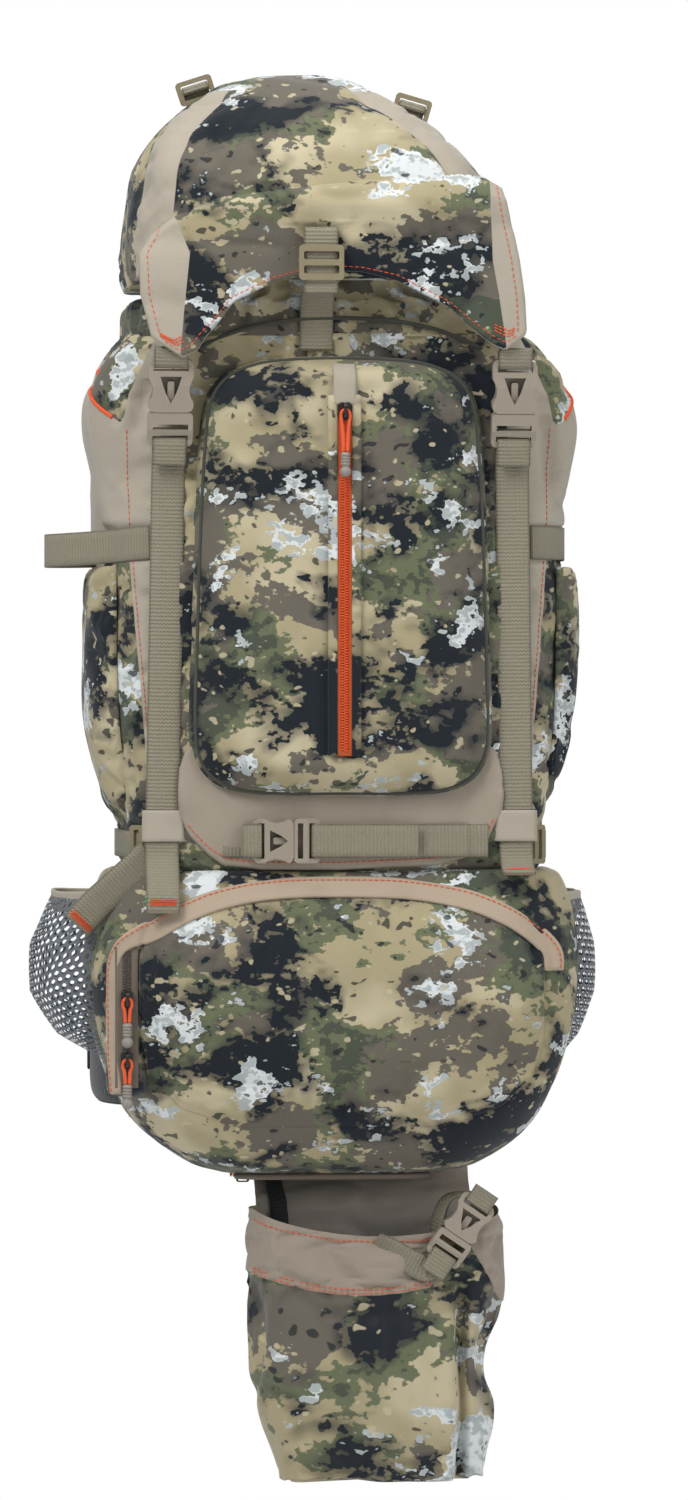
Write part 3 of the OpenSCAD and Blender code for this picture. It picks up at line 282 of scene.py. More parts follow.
def cloth(name, shift=(0, 0, 0), trim=None, plain=None, scale=1.0, rough=0.85):
    """Brushed cloth. Camouflage is layers of blotches from noise of different sizes, their edges broken into
    flecks by a fine noise, the dark ones feathered. The point attribute panel, in millimetres past a seam,
    brings the trim."""
    made, tree = fresh(name)
    place = put(tree, "TexCoord").outputs["Object"]

    def stir(spot, size, detail=2.0, twist=0.0):
        """Noise of that size in metres."""
        return put(tree, "TexNoise", {"Vector": spot, "Scale": 1 / size, "Detail": detail, "Roughness": 0.55,
                                      "Distortion": twist}).outputs[0]

    def lay(under, over, field, low, high, most=1.0):
        """Lays one colour over another where a field passes from low to high."""
        where = put(tree, "MapRange", {0: field, 1: low, 2: high, 3: 0.0, 4: most},
                    interpolation_type="SMOOTHSTEP").outputs[0]
        over = linear(over) if isinstance(over, str) else over
        return put(tree, "Mix", {0: where, 6: under, 7: over}, data_type="RGBA").outputs[2]

    if plain:
        colour = lay(linear(plain), "#6E675C", stir(place, 0.045, 3.0), 0.45, 0.95, 0.35)
    else:
        spot = put(tree, "Mapping", {"Vector": place, "Location": shift, "Scale": (0.8, 0.8, 1.1)}).outputs[0]
        speck = stir(spot, 0.0065 * scale, 2.0)
        fleck = put(tree, "Math", {0: speck, 1: 0.5}, operation="SUBTRACT").outputs[0]

        def ragged(field, share):
            """The field with flecks added."""
            return put(tree, "Math", {0: fleck, 1: share, 2: field}, operation="MULTIPLY_ADD").outputs[0]

        sizes = (0.085, 0.062, 0.057, 0.048)
        green, brown, dark, pale = (stir(spot, size * scale, 3.0, 0.3) for size in sizes)
        colour = lay(linear(CAMO["tan"]), CAMO["straw"], stir(spot, 0.07 * scale), 0.46, 0.62)
        colour = lay(colour, CAMO["olive"], ragged(green, 0.22), 0.515, 0.53)
        colour = lay(colour, CAMO["moss"], ragged(green, 0.3), 0.575, 0.60)
        colour = lay(colour, CAMO["bark"], ragged(brown, 0.22), 0.535, 0.55)
        colour = lay(colour, CAMO["coal"], dark, 0.48, 0.61, 0.75)
        colour = lay(colour, CAMO["coal"], ragged(dark, 0.3), 0.565, 0.585)
        frost = lay(linear(CAMO["ash"]), "#8E9695", fleck, 0.0, 0.1, 0.7)
        colour = lay(colour, frost, ragged(pale, 0.35), 0.605, 0.62)
        grit = stir(spot, 0.0095 * scale, 1.0)
        colour = lay(colour, CAMO["coal"], grit, 0.68, 0.71, 0.8)
        colour = lay(colour, CAMO["straw"], grit, 0.31, 0.28, 0.8)
    if trim:
        past = put(tree, "Attribute", attribute_name="panel").outputs["Fac"]
        colour = lay(colour, trim, past, -0.3, 0.3)
    nap = stir(place, 0.0022)
    bump = put(tree, "Bump", {"Height": nap, "Distance": 0.0005, "Strength": 0.6}).outputs[0]
    skin = put(tree, "BsdfPrincipled", {"Base Color": colour, "Roughness": rough, "Sheen Weight": 0.12,
                                        "Specular IOR Level": 0.25, "Normal": bump})
    put(tree, "OutputMaterial", {"Surface": skin.outputs[0]})
    return made


TABLE = 4096                                # random numbers that the lattice draws on
SCATTER = (73856093, 19349663, 83492791)    # large primes that spread its corners over them
CREASE = 0.16                               # half width of a crease, in the noise's own height


def rumple(points, size, seed):
    """Smooth noise from -1 to 1: random numbers on a lattice of that spacing in millimetres, eased between
    its corners."""
    cells = np.asarray(points) / size + 512
    base = np.floor(cells).astype(np.int64)
    part = cells - base
    part = part * part * (3 - 2 * part)
    table = np.random.default_rng(seed).uniform(-1, 1, TABLE)
    total = 0
    for corner in np.ndindex(2, 2, 2):
        c = (base + np.array(corner)) * SCATTER
        weight = np.prod(np.where(np.array(corner) == 1, part, 1 - part), axis=-1)
        total = total + table[(c[..., 0] ^ c[..., 1] ^ c[..., 2]) % TABLE] * weight
    return total


def folds(points, size, stretch, seed):
    """Creases from 0 to 1: a bell round the places where the noise passes nought, with the lattice stretched
    along each axis."""
    field = rumple(np.asarray(points) / np.array(stretch), size, seed)
    return np.exp(-(field / CREASE) ** 2)


def spread(x, y, z):
    """Grid of points from three coordinates, each repeated over the rows or columns that it lacks."""
    return np.stack(np.broadcast_arrays(x, y, z), -1)


def ring_of(sections, rows, cols):
    """Grid of points round a loft of rounded rectangles: a curve through the sections gives each row's
    rectangle, from below up. A ring runs from the front's left end along the front, the right side, the back
    and the left side."""
    s = along(np.asarray(sections, float), rows)
    z, middle, half, front, back, corner = (column[:, None] for column in s.T)
    straight, bend = cols // 6, cols // 12
    ease, turn = np.arange(straight) / straight, np.arange(bend) / bend * np.pi / 2
    sx, sy, ax, ay = [], [], [], []
    for k in range(4):
        x0, y0 = ((-1, -1), (1, -1), (1, 1), (-1, 1))[k]
        x1, y1 = ((1, -1), (1, 1), (-1, 1), (-1, -1))[k]
        a = (k - 1) * np.pi / 2
        sx += list(x0 + (x1 - x0) * ease) + [x1] * bend
        sy += list(y0 + (y1 - y0) * ease) + [y1] * bend
        ax += [np.cos(a)] * straight + list(np.cos(a + turn))
        ay += [np.sin(a)] * straight + list(np.sin(a + turn))
    x = middle + np.array(sx) * (half - corner) + np.array(ax) * corner
    y = (front + back) / 2 + np.array(sy) * ((back - front) / 2 - corner) + np.array(ay) * corner
    return spread(x, y, z)


def normals(grid, wrap=False):
    """Outward direction at each point of a grid: the cross product of the step along its columns, which run
    anticlockwise from above, and the step up its rows."""
    if wrap:
        across = np.roll(grid, -1, 1) - np.roll(grid, 1, 1)
    else:
        across = np.gradient(grid, axis=1)
    return unit(np.cross(across, np.gradient(grid, axis=0)))


def sack(name, grid, material, floor=True, roof=False, hole=None):
    """A closed or open-topped skin from a ring grid, its ends shut by a fan of faces round a middle point.
    Faces with every corner in the hole, given for each point, are left out."""
    rows, cols = grid.shape[:2]
    points = [grid.reshape(-1, 3)]
    faces = quads(rows, cols, True)
    if hole is not None:
        faces = np.array(faces)[~hole.ravel()[np.array(faces)].all(1)].tolist()
    for shut, row in ((floor, 0), (roof, rows - 1)):
        if shut:
            hub = rows * cols + len(points) - 1
            points.append(grid[row].mean(0, keepdims=True))
            k = np.arange(cols)
            fan = np.stack([np.full(cols, hub), row * cols + k, row * cols + (k + 1) % cols], 1)
            faces += (fan if row else fan[:, ::-1]).tolist()
    return piece(name, np.vstack(points), faces, material)


SHORT_OF_SEAM = -50.0     # millimetres, for points that get no trim


def panel_of(made, distances):
    """Stores on the mesh how far each point lies past a colour seam; points beyond the grid get no trim."""
    values = np.full(len(made.data.vertices), SHORT_OF_SEAM)
    values[:distances.size] = distances.ravel()
    layer = made.data.attributes.new("panel", "FLOAT", "POINT")
    layer.data.foreach_set("value", values)
    return made


FRAMES = 22     # moments of the simulation


def settle(grid, held, wrap=True, pressure=3.0, grow=0.04, cap=7.0):
    """Cloth simulation of a skin cut a little too large and blown out from within, held at its seams. The way
    that a point travels is eased off by a hyperbolic tangent, so that it stays under cap, in millimetres."""
    rows, cols = grid.shape[:2]
    start = grid.reshape(-1, 3) * 0.001
    mesh = bpy.data.meshes.new("cut_cloth")
    mesh.from_pydata(start.tolist(), [], quads(rows, cols, wrap))
    trial = bpy.data.objects.new("cut_cloth", mesh)
    scene.collection.objects.link(trial)
    seams = trial.vertex_groups.new(name="seams")
    seams.add(np.flatnonzero(np.broadcast_to(held, (rows, cols))).tolist(), 1.0, "REPLACE")
    weave = trial.modifiers.new("weave", "CLOTH")
    cut = weave.settings
    cut.quality, cut.mass, cut.air_damping = 6, 0.3, 4.0
    cut.tension_stiffness = cut.compression_stiffness = 12
    cut.shear_stiffness, cut.bending_stiffness = 4, 0.3
    cut.use_pressure, cut.uniform_pressure_force = True, pressure
    cut.shrink_min = -grow
    cut.vertex_group_mass = "seams"
    cut.effector_weights.gravity = 0
    weave.collision_settings.use_collision = False
    weave.point_cache.frame_start, weave.point_cache.frame_end = 1, FRAMES
    for moment in range(1, FRAMES + 1):
        scene.frame_set(moment)
    shaped = trial.evaluated_get(bpy.context.evaluated_depsgraph_get()).data
    ended = np.empty(len(start) * 3)
    shaped.vertices.foreach_get("co", ended)
    scene.frame_set(1)
    bpy.data.objects.remove(trial)
    bpy.data.meshes.remove(mesh)
    travel = (ended.reshape(-1, 3) - start) * 1000
    far = np.linalg.norm(travel, axis=1, keepdims=True)
    travel = travel * np.tanh(far / cap) * cap / np.maximum(far, 1e-6)
    return grid + travel.reshape(grid.shape)


def finer(grid, wrap=True):
    """Twice the rows and columns, each new point on the cubic through its four neighbours."""
    for axis in (0, 1):
        g = np.moveaxis(grid, axis, 0)
        if wrap and axis:
            ends = np.concatenate([g[-1:], g, g[:2]])
        else:
            ends = np.concatenate([2 * g[:1] - g[1:2], g, 2 * g[-1:] - g[-2:-1]])
        between = (9 * (ends[1:-2] + ends[2:-1]) - ends[:-3] - ends[3:]) / 16
        both = np.empty((len(g) + len(between),) + g.shape[1:])
        both[0::2], both[1::2] = g, between
        grid = np.moveaxis(both, 0, axis)
    return grid


def crossing(grid, field):
    """The path up a grid where a field first changes sign along each row, by straight interpolation."""
    change = (field[:, :-1] <= 0) != (field[:, 1:] <= 0)
    rows = np.flatnonzero(change.any(1))
    c = change[rows].argmax(1)
    before, after = field[rows, c], field[rows, c + 1]
    share = (before / (before - after))[:, None]
    return grid[rows, c] * (1 - share) + grid[rows, c + 1] * share


camo_trim = cloth("camo_trim", (0.31, 0.07, 0.55), trim=TAUPE)
bag_grid = ring_of(BAG, 76, 120)
x, y, z = (bag_grid[..., k] for k in range(3))
under_straps = (np.abs(np.abs(x) - STRIP_X) < 5) & (y < -205)
laced = (np.abs(z - UPPER_STRAP_Z) < 13) & (np.abs(x) > 110) & ((x > 0) | (y < -160))
laced = laced | (np.abs(z - LOWER_STRAP_Z) < 7)
behind_pocket = (np.abs(x) < 106) & (y < -225) & (z > -335) & (z < -20)
behind_sides = (np.abs(x) > 140) & (y > -198) & (y < -60) & (z < -172) & (z > -361)
held = (y > -14) | (z < -388) | (z > 0) | under_straps | laced | behind_pocket | behind_sides
bag_grid = finer(settle(bag_grid, held, grow=0.05, cap=7))
out = normals(bag_grid, True)
# The rumples fade towards the back, on the flat front and under the upper straps.
x, y, z = (bag_grid[..., k] for k in range(3))
quiet = np.clip((-20 - y) / 60, 0, 1) * np.clip((y + 232) / 4, 0.3, 1)
quiet = quiet * (1 - 0.8 * np.exp(-((z - UPPER_STRAP_Z) / 17) ** 2))
bag_grid = bag_grid + out * (quiet * (1.4 * rumple(bag_grid, 60, 1) + 0.8 * rumple(bag_grid, 22, 2)
                                      - 2.4 * folds(bag_grid, 60, (1.6, 1.6, 0.8), 3)))[..., None]
# One deep fold with a raised edge runs down from each end of the lid.
x, y, z = (bag_grid[..., k].copy() for k in range(3))
valley = np.where(x < 0, np.interp(z, [-70, -19], [153, 137]), np.interp(z, [-103, -49], [158, 152]))
reach = np.clip(1.2 - np.abs(z - np.where(x < 0, -45, -78)) / 38, 0, 1) * (y < -150)
bag_grid = bag_grid + out * (reach * (3 * np.exp(-((np.abs(x) - valley - 11) / 6) ** 2)
                                      - 7 * np.exp(-((np.abs(x) - valley) / 5.5) ** 2)))[..., None]
x, y, z = (bag_grid[..., k] for k in range(3))
seam_x = np.interp(z, [-345, -290, -210, -135, -60, -41, -5, 4],
                   [141, 144.5, 151.5, 157.5, 160, 156, 139, 134])
to_strip = np.abs(x) - STRIP_X
corner_strip = np.where(y < -130, np.minimum(to_strip, seam_x - np.abs(x)), SHORT_OF_SEAM)
zip_line = np.interp(y, [-212, -195, -172, -150, -100, -20], [-62, -50, -36, -24, -10, -2]) - z
side_top = np.minimum(np.minimum(z + 135 + 0.45 * (y + 215), zip_line), to_strip)
bag_skin = panel_of(sack("main_bag_cloth", bag_grid, camo_trim), np.maximum(corner_strip, side_top))
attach(bag_skin, "pack")
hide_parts("main_bag")

# Collar: the gathered top of the bag under the lid, of the same camouflage cloth. It is sewn round the bag's
# mouth and drawn in by upright pleats.
COLLAR = [(2, -7, 147, -227, -10, 40), (14, -8, 147, -228, -12, 44), (29, -10, 143, -226, -14, 48),
          (38, -12, 126, -220, -16, 54), (74, -14, 121, -214, -20, 56), (108, -16, 110, -198, -40, 52)]
camo_body = cloth("camo_body", (0.05, 0.4, 0.9))
COLLAR_POINTS = 300
collar_grid = ring_of(COLLAR, 40, COLLAR_POINTS)
around = np.arange(COLLAR_POINTS) / COLLAR_POINTS * 2 * np.pi
pleat = np.sin(around * 46 + 3 * np.sin(around * 5)) * 2.2 + np.sin(around * 83 + 1) * 0.8
fade = np.clip((collar_grid[..., 2] - 2) / 14, 0, 1)
collar_grid = collar_grid + normals(collar_grid, True) * (fade * (pleat - 3))[..., None]
collar_skin = sack("collar_cloth", collar_grid, camo_body, floor=False)
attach(collar_skin, "pack")
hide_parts("collar")

# Yoke: a seam piped in dark cloth, which arches over the front pocket where the collar begins. The piping is
# a folded strip, sewn in between the two cloths.
YOKE_HALF = 104
piping_cloth = cloth("piping_cloth", plain="#45463F")
yoke_x = np.linspace(-YOKE_HALF, YOKE_HALF, 60)
yoke = spread(yoke_x, -229.2, 15 - 22 * np.abs(yoke_x / YOKE_HALF) ** 2.6)
made = piece("yoke_piping", *tube(yoke, 1.5, 8), piping_cloth)
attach(made, "pack")

# Lid: a stuffed dome of camouflage cloth, with a plain taupe strip down each front corner. It is sewn to a
# taupe roll on the back panel and turns back on it.
DOME = [(44, -13, 138, -261, -6, 50), (72, -14, 136, -263, -6, 52), (104, -16, 130, -261, -6, 52),
        (128.7, -21, 121, -257, -9, 52), (149.6, -26, 106, -245, -16, 50), (168.6, -29, 84, -225, -32, 46),
        (185.7, -30, 56, -197, -58, 36), (195.2, -27, 32, -175, -82, 22), (198.6, -26, 14, -148, -110, 10)]
dome_cloth = cloth("dome_cloth", (0.62, 0.2, 0.13), trim=TAUPE)
dome_grid = ring_of(DOME, 46, 120)
ring = np.arange(120)[None]
z = dome_grid[..., 2]
# Seams hold the ring's columns at the strips' edges, and the dome's foot.
seamed = (np.isin(ring, (23, 30, 109, 116)) & (z < 176)) | (z < 50)
dome_grid = finer(settle(dome_grid, seamed, pressure=4, grow=0.04, cap=7))
dome_grid = dome_grid + normals(dome_grid, True) * (
    1.2 * rumple(dome_grid, 60, 11) + 0.8 * rumple(dome_grid, 22, 12)
    - 2.0 * folds(dome_grid, 55, (1.0, 1.0, 1.6), 13))[..., None]
ring = np.arange(240)[None] * np.ones((len(dome_grid), 1))
COLUMN = 3.5     # about the width of one column there
strip = np.maximum(7 - np.abs(ring - 53), 7 - np.abs(ring - 225)) * COLUMN
strip = np.minimum(strip, 186 - dome_grid[..., 2])
dome = panel_of(sack("lid_dome_cloth", dome_grid, dome_cloth, roof=True), strip)
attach(dome, "lid")
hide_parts("lid_dome")
taupe_cloth = cloth("taupe_cloth", plain=TAUPE)


def slab(grid, thick):
    """Points and faces of a panel of even thickness: the grid is its outer face, the inner one lies straight
    below it, and a row midway between them rounds the edge."""
    rows, cols = grid.shape[:2]
    out = normals(grid)
    inner = grid - out * thick
    index = np.arange(rows * cols).reshape(rows, cols)
    edge = np.concatenate([index[0, :-1], index[:-1, -1], index[-1, :0:-1], index[:0:-1, 0]])
    flat, under = grid.reshape(-1, 3), inner.reshape(-1, 3)
    rim = (flat[edge] + under[edge]) / 2
    ahead = unit(np.roll(rim, -1, 0) - np.roll(rim, 1, 0))
    rim = rim + np.cross(ahead, out.reshape(-1, 3)[edge]) * thick * 0.5
    count = rows * cols
    front = quads(rows, cols)
    faces = front + [[k + count for k in f[::-1]] for f in front]
    k = np.arange(len(edge))
    n = (k + 1) % len(edge)
    faces += np.stack([edge[n], edge[k], 2 * count + k, 2 * count + n], 1).tolist()
    faces += np.stack([2 * count + n, 2 * count + k, edge[k] + count, edge[n] + count], 1).tolist()
    return np.vstack([flat, under, rim]), faces


def threads(paths, pitch=4.4, dash=3.0, radius=0.42):
    """Points and faces of sewing thread: short round dashes at even steps along each path."""
    bits = []
    for path in paths:
        p = np.asarray(path, float)
        run = np.append(0, np.cumsum(np.linalg.norm(np.diff(p, axis=0), axis=1)))
        count = max(int(run[-1] / pitch), 1)
        starts = (np.arange(count) + 0.5) * run[-1] / count

        def at(s):
            """Points that lie s along the path."""
            return np.stack([np.interp(s, run, column) for column in p.T], -1)

        a, b = at(starts - dash / 2), at(starts + dash / 2)
        ahead = unit(b - a)
        side = unit(np.cross(ahead, np.array([0.31, 0.17, 0.93])))
        up = np.cross(ahead, side)
        turn = np.arange(5) * 2 * np.pi / 5
        ring = side[:, None] * np.cos(turn)[:, None] + up[:, None] * np.sin(turn)[:, None]
        stop = [(a, 0.3), (a + ahead * 0.6, 1), (b - ahead * 0.6, 1), (b, 0.3)]
        grid = np.stack([c[:, None] + ring * radius * share for c, share in stop], 1)
        for one in grid:
            bits.append((one.reshape(-1, 3), quads(4, 5, True) + [[4, 3, 2, 1, 0], [15, 16, 17, 18, 19]]))
    return together(bits)


thread = finish_of("orange_thread", ORANGE, 0.6)


def sewing(name, paths, body, **kind):
    """A set of visible orange seams that rides with a body."""
    made = piece(name, *threads(paths, **kind), thread)
    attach(made, body)


# Bag seams: the taupe strips are sewn down with orange thread, and a side zip with an orange coil closes the
# cloth above each of them.
corner_seams, side_zips = [], []
for side, columns, flank in ((1, slice(36, 62), slice(42, 100)), (-1, slice(218, 240), slice(180, 240))):
    path = crossing(bag_grid[:, columns], (np.abs(bag_grid[..., 0]) - seam_x + 2.5)[:, columns])
    corner_seams.append(path[(path[:, 2] < -64) & (path[:, 2] > -372)] + np.array([side * 0.3, -0.35, 0]))
    high = crossing(bag_grid[:, flank], zip_line[:, flank])
    high = high[(high[:, 2] > -60) & (high[:, 2] < -12)] + np.array([side * 0.3, 0, 0.3])
    side_zips.append(tube(along(high[::2], 80), 1.5, 8))
sewing("main_bag_stitches", corner_seams, "pack", radius=0.34)
made = piece("side_zips", *together(side_zips), thread)
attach(made, "pack")

# Lid flap: the front of the lid, an arched visor of camouflage cloth with a taupe tongue over each lid strap.
# It is sewn to the dome along its top, where it stands proud, and edged with orange thread.
share = np.linspace(0, 1, 110)
nominal = -139 + 272 * share
foot = np.interp(nominal, [-139, -127, -113, -106, -92, -76, -45, -20, 0, 20, 45, 80, 94, 106, 113, 122, 133],
                 [-2, -15, -10, -4, 8, 25, 40, 47, 49, 48, 42, 22, 8, -1, -5, -9, 2])
head = np.interp(nominal, [-139, -128, -110, -98, -26, 40, 100, 118, 133],
                 [72, 90, 101, 104, 113, 118, 120, 118, 110])
rise = np.linspace(0, 1, 60)[:, None]
flap_z = foot + (head - foot) * rise
left_edge = np.interp(flap_z, [-16, 0, 30, 60, 80, 100, 119], [-130, -141, -149, -150, -140, -124, -106])
right_edge = np.interp(flap_z, [-12, 5, 27, 56, 90, 120], [128, 133, 132, 128, 121, 115])
flap_x = left_edge + (right_edge - left_edge) * share
visor = np.exp(-((flap_z - 97) / 15) ** 2) * np.clip((130 - np.abs(flap_x)) / 30, 0, 1)
away = 1 - np.exp(-((flap_x + 18) / 22) ** 4) * (flap_z < 82)
belly = 3.0 * np.sin(np.pi * rise) * away
wrap_back = 0.0012 * np.maximum(np.abs(flap_x) - 70, 0) ** 2 * rise
flap_y = -264.6 - 7 * visor - belly + wrap_back + 9 * np.clip((rise - 0.9) / 0.1, 0, 1) ** 2
flap_grid = np.stack([flap_x, flap_y, flap_z], -1)
calm = np.clip(np.minimum(rise * 6, (1 - rise) * 6), 0, 1) * away
drape = 3.2 * np.sin((flap_x - 0.35 * flap_z) / 8.5) * np.exp(-((flap_x - 74) / 26) ** 2)
drape = drape * np.clip((112 - flap_z) / 40, 0, 1)
flap_grid = flap_grid + normals(flap_grid) * (calm * (drape + 1.6 * rumple(flap_grid, 48, 21) - 2.4 * folds(
    flap_grid, 52, (1.3, 1, 0.9), 22) + 0.7 * rumple(flap_grid, 18, 23)))[..., None]
ends = np.maximum(np.interp(flap_z, [-15, 30, 60, 95], [-121, -117, -114, -128]) - flap_x,
                  flap_x - np.interp(flap_z, [-5, 34, 56, 119], [119, 113, 109, 107.5]))
points, faces = slab(flap_grid, 3)
flap = piece("lid_flap_cloth", points, faces, dome_cloth)
layer = np.full(len(points), 5.0)
layer[:2 * ends.size] = np.tile(ends.ravel(), 2)
panel_of(flap, layer)
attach(flap, "lid")
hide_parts("lid_flap")
hem = flap_grid + normals(flap_grid) * 0.25
sewing("lid_flap_stitches", [hem[2, 2:-2], hem[3:, 2], hem[3:, -3]], "lid", radius=0.34)
tips = [hem[row, k - 3:k + 4] for k in (5, -7) for row in (4, 5, 6)]
sewing("lid_tongue_tacks", tips, "lid", pitch=3.0, dash=2.8, radius=0.5)

# Front pocket: a crowned panel of camouflage cloth, sewn to the bag round its edge under dark piping. An
# orange zip down its middle opens it.
POCKET_TOP, POCKET_FOOT = -13.0, -339.0
POCKET_POINTS = 130
FACE = -228.3
pocket_cloth = cloth("pocket_cloth", (0.83, 0.5, 0.31))


def pocket_outline(count):
    """The pocket's edge as x and z, clockwise from its top middle: a curve through one half's points and
    their mirror images, arched at the head, wider and rounder at the foot."""
    half = [(0, POCKET_TOP), (35, POCKET_TOP - 1), (62, POCKET_TOP - 4), (82, POCKET_TOP - 11),
            (95, POCKET_TOP - 22), (102, POCKET_TOP - 38), (105.5, -80), (109, -140), (111.5, -220),
            (113, -285), (110, -311), (98, -328), (76, -336.5), (40, POCKET_FOOT), (0, POCKET_FOOT)]
    ring = np.array(half + [(-a, b) for a, b in half[-2:0:-1]] + [half[0]], float)
    return along(ring, count + 1)[:-1]


def crown(deep):
    """How far the pocket stands out, 0 to 1: a superellipse that is steep at the seam, and full two fifths of
    the way in to the spine."""
    return (1 - (1 - np.clip(deep / 0.4, 0, 1)) ** 2.2) ** 0.75


edge = pocket_outline(POCKET_POINTS)
deep = np.linspace(0, 1, 24)[:, None]
spine = np.stack([0 * edge[:, 0], np.clip(edge[:, 1], POCKET_FOOT + 70, POCKET_TOP - 55)], 1)
flat = edge[None] * (1 - deep[..., None]) + spine[None] * deep[..., None]
pocket_grid = spread(flat[..., 0], FACE - 0.5 - 31.5 * crown(deep), flat[..., 1])[:, ::-1]
held = (deep < 0.1) | (deep > 0.93) | ((np.abs(pocket_grid[..., 0]) < 11) & (deep > 0.1))
pocket_grid = finer(settle(pocket_grid, held, pressure=2.5, grow=0.05, cap=6))
deep = np.linspace(0, 1, len(pocket_grid))[:, None]
calm = np.clip(deep * 9, 0, 1) * np.clip((1 - deep) * 7, 0.15, 1)
calm = calm * np.clip(np.abs(pocket_grid[..., 0]) / 14, 0.1, 1)
give = 1.5 * rumple(pocket_grid, 58, 31) + 0.8 * rumple(pocket_grid, 20, 32) - 2.2 * folds(
    pocket_grid, 46, (1.1, 1, 1.7), 33)
pocket_grid[..., 1] -= calm * give
faces = quads(*pocket_grid.shape[:2], True)
pocket = piece("front_pocket_cloth", pocket_grid.reshape(-1, 3), faces, pocket_cloth)
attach(pocket, "pack")
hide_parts("front_pocket")
lip = pocket_grid[2] + [0, -0.6, 0]
piping = piece("front_pocket_piping", *tube(lip, 1.4, 8, closed=True), piping_cloth)
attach(piping, "pack")

# Front zip: an orange nylon coil on rust-coloured tape, sewn in behind two lips of the pocket's cloth. A
# taupe garage covers its top end.
ZIP_TOP, ZIP_FOOT, ZIP_Y = -47.0, -305.0, -262.6
COIL_WIDE, COIL_PITCH, COIL_R = 6.0, 2.0, 0.55
zip_tape = finish_of("zip_tape", "#B9501F", 0.8, grain(0.0015), 0.0004)
coil_nylon = finish_of("coil_nylon", ORANGE, 0.45)


def zip_chain(start, stop, out, across):
    """Points and faces of a coil chain: two rows of slanted loops, each a bent rod, meeting along the run."""
    start, stop, out, across = (np.asarray(v, float) for v in (start, stop, out, across))
    run = stop - start
    ahead = unit(run)
    bits = []
    for k in range(int(np.linalg.norm(run) / COIL_PITCH)):
        for side in (-1, 1):
            at = start + ahead * (k + 0.5) * COIL_PITCH + ahead * COIL_PITCH * 0.25 * side
            reach = across * side * COIL_WIDE
            rod = [at + reach * 0.5, at + reach * 0.3 + out * 0.9, at + reach * 0.06 + out * 1.0,
                   at - across * side * 0.5 + out * 0.3]
            bits.append(tube(np.array(rod), COIL_R, 5))
    return together(bits)


tape_z = np.linspace(ZIP_FOOT - 3, ZIP_TOP + 3, 60)[:, None]
front_tape = piece("front_zip_tape", *slab(spread(np.linspace(-7, 7, 7), ZIP_Y, tape_z), 1.0), zip_tape)
chain = zip_chain((0, ZIP_Y, ZIP_TOP), (0, ZIP_Y, ZIP_FOOT), (0, -1, 0), (1, 0, 0))
front_coil = piece("front_zip_coil", *chain, coil_nylon)
for made in (front_tape, front_coil):
    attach(made, "pack")
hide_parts("front_zip")
lips = []
for side in (-1, 1):
    lip_x = side * np.linspace(5.6, 12, 6)[::side]
    lips.append(slab(spread(lip_x, -264.2 + 0.05 * (np.abs(lip_x) - 8) ** 2, tape_z), 1.0))
zip_lips = piece("front_zip_lips", *together(lips), pocket_cloth)
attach(zip_lips, "pack")
garage_z = np.linspace(-50, -20, 16)[:, None]
garage_x = np.linspace(-8, 8, 9)
garage_y = FACE - 2.5 - 32.5 * crown((POCKET_TOP - garage_z) / 55) - 2.4 * np.cos(garage_x / 8 * 1.2)
garage = spread(garage_x, garage_y, garage_z)
made = piece("front_zip_garage", *slab(garage, 1.2), taupe_cloth)
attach(made, "pack")

# Boat flap: a plain taupe panel, sewn to the bag below the pocket. Its foot is curved like a boat's keel and
# edged in orange thread.
boat_x = np.linspace(-119, 119, 90)
boat_foot = np.interp(boat_x, [-119, -112, -98, -86, -60, 0, 70, 94, 107, 114, 119],
                      [-352, -366, -380, -388, -391, -391, -388, -382, -372, -358, -350])
boat_head = np.interp(np.abs(boat_x), [0, 60, 85, 103, 112, 119], [-333, -333, -329, -317, -300, -318])
rise = np.linspace(0, 1, 30)[:, None]
boat_z = boat_foot + (boat_head - boat_foot) * rise
boat_grid = spread(boat_x, -233 - 2.0 * np.sin(np.pi * rise), boat_z)
boat_grid = boat_grid + normals(boat_grid) * (0.9 * rumple(boat_grid, 40, 41) - 1.0 * folds(
    boat_grid, 40, (1.5, 1, 0.8), 42))[..., None]
boat = piece("boat_flap_cloth", *slab(boat_grid, 3.5), cloth("boat_cloth", plain="#9C9182"))
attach(boat, "pack")
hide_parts("boat_flap")
sewing("boat_flap_stitches", [boat_grid[2, 2:-2] + [0, -0.4, 0]], "pack")

# Lid straps: 25 mm ribbed nylon webbing, folded through the buckles' plugs and laid flat down the bag
# through a taupe keeper. Each has a hanging tail that ends in an orange bar tack.
KHAKI = "#8A836F"
STRAP_X = 127
WEB = 25
RIB_PITCH = 0.0028     # metres


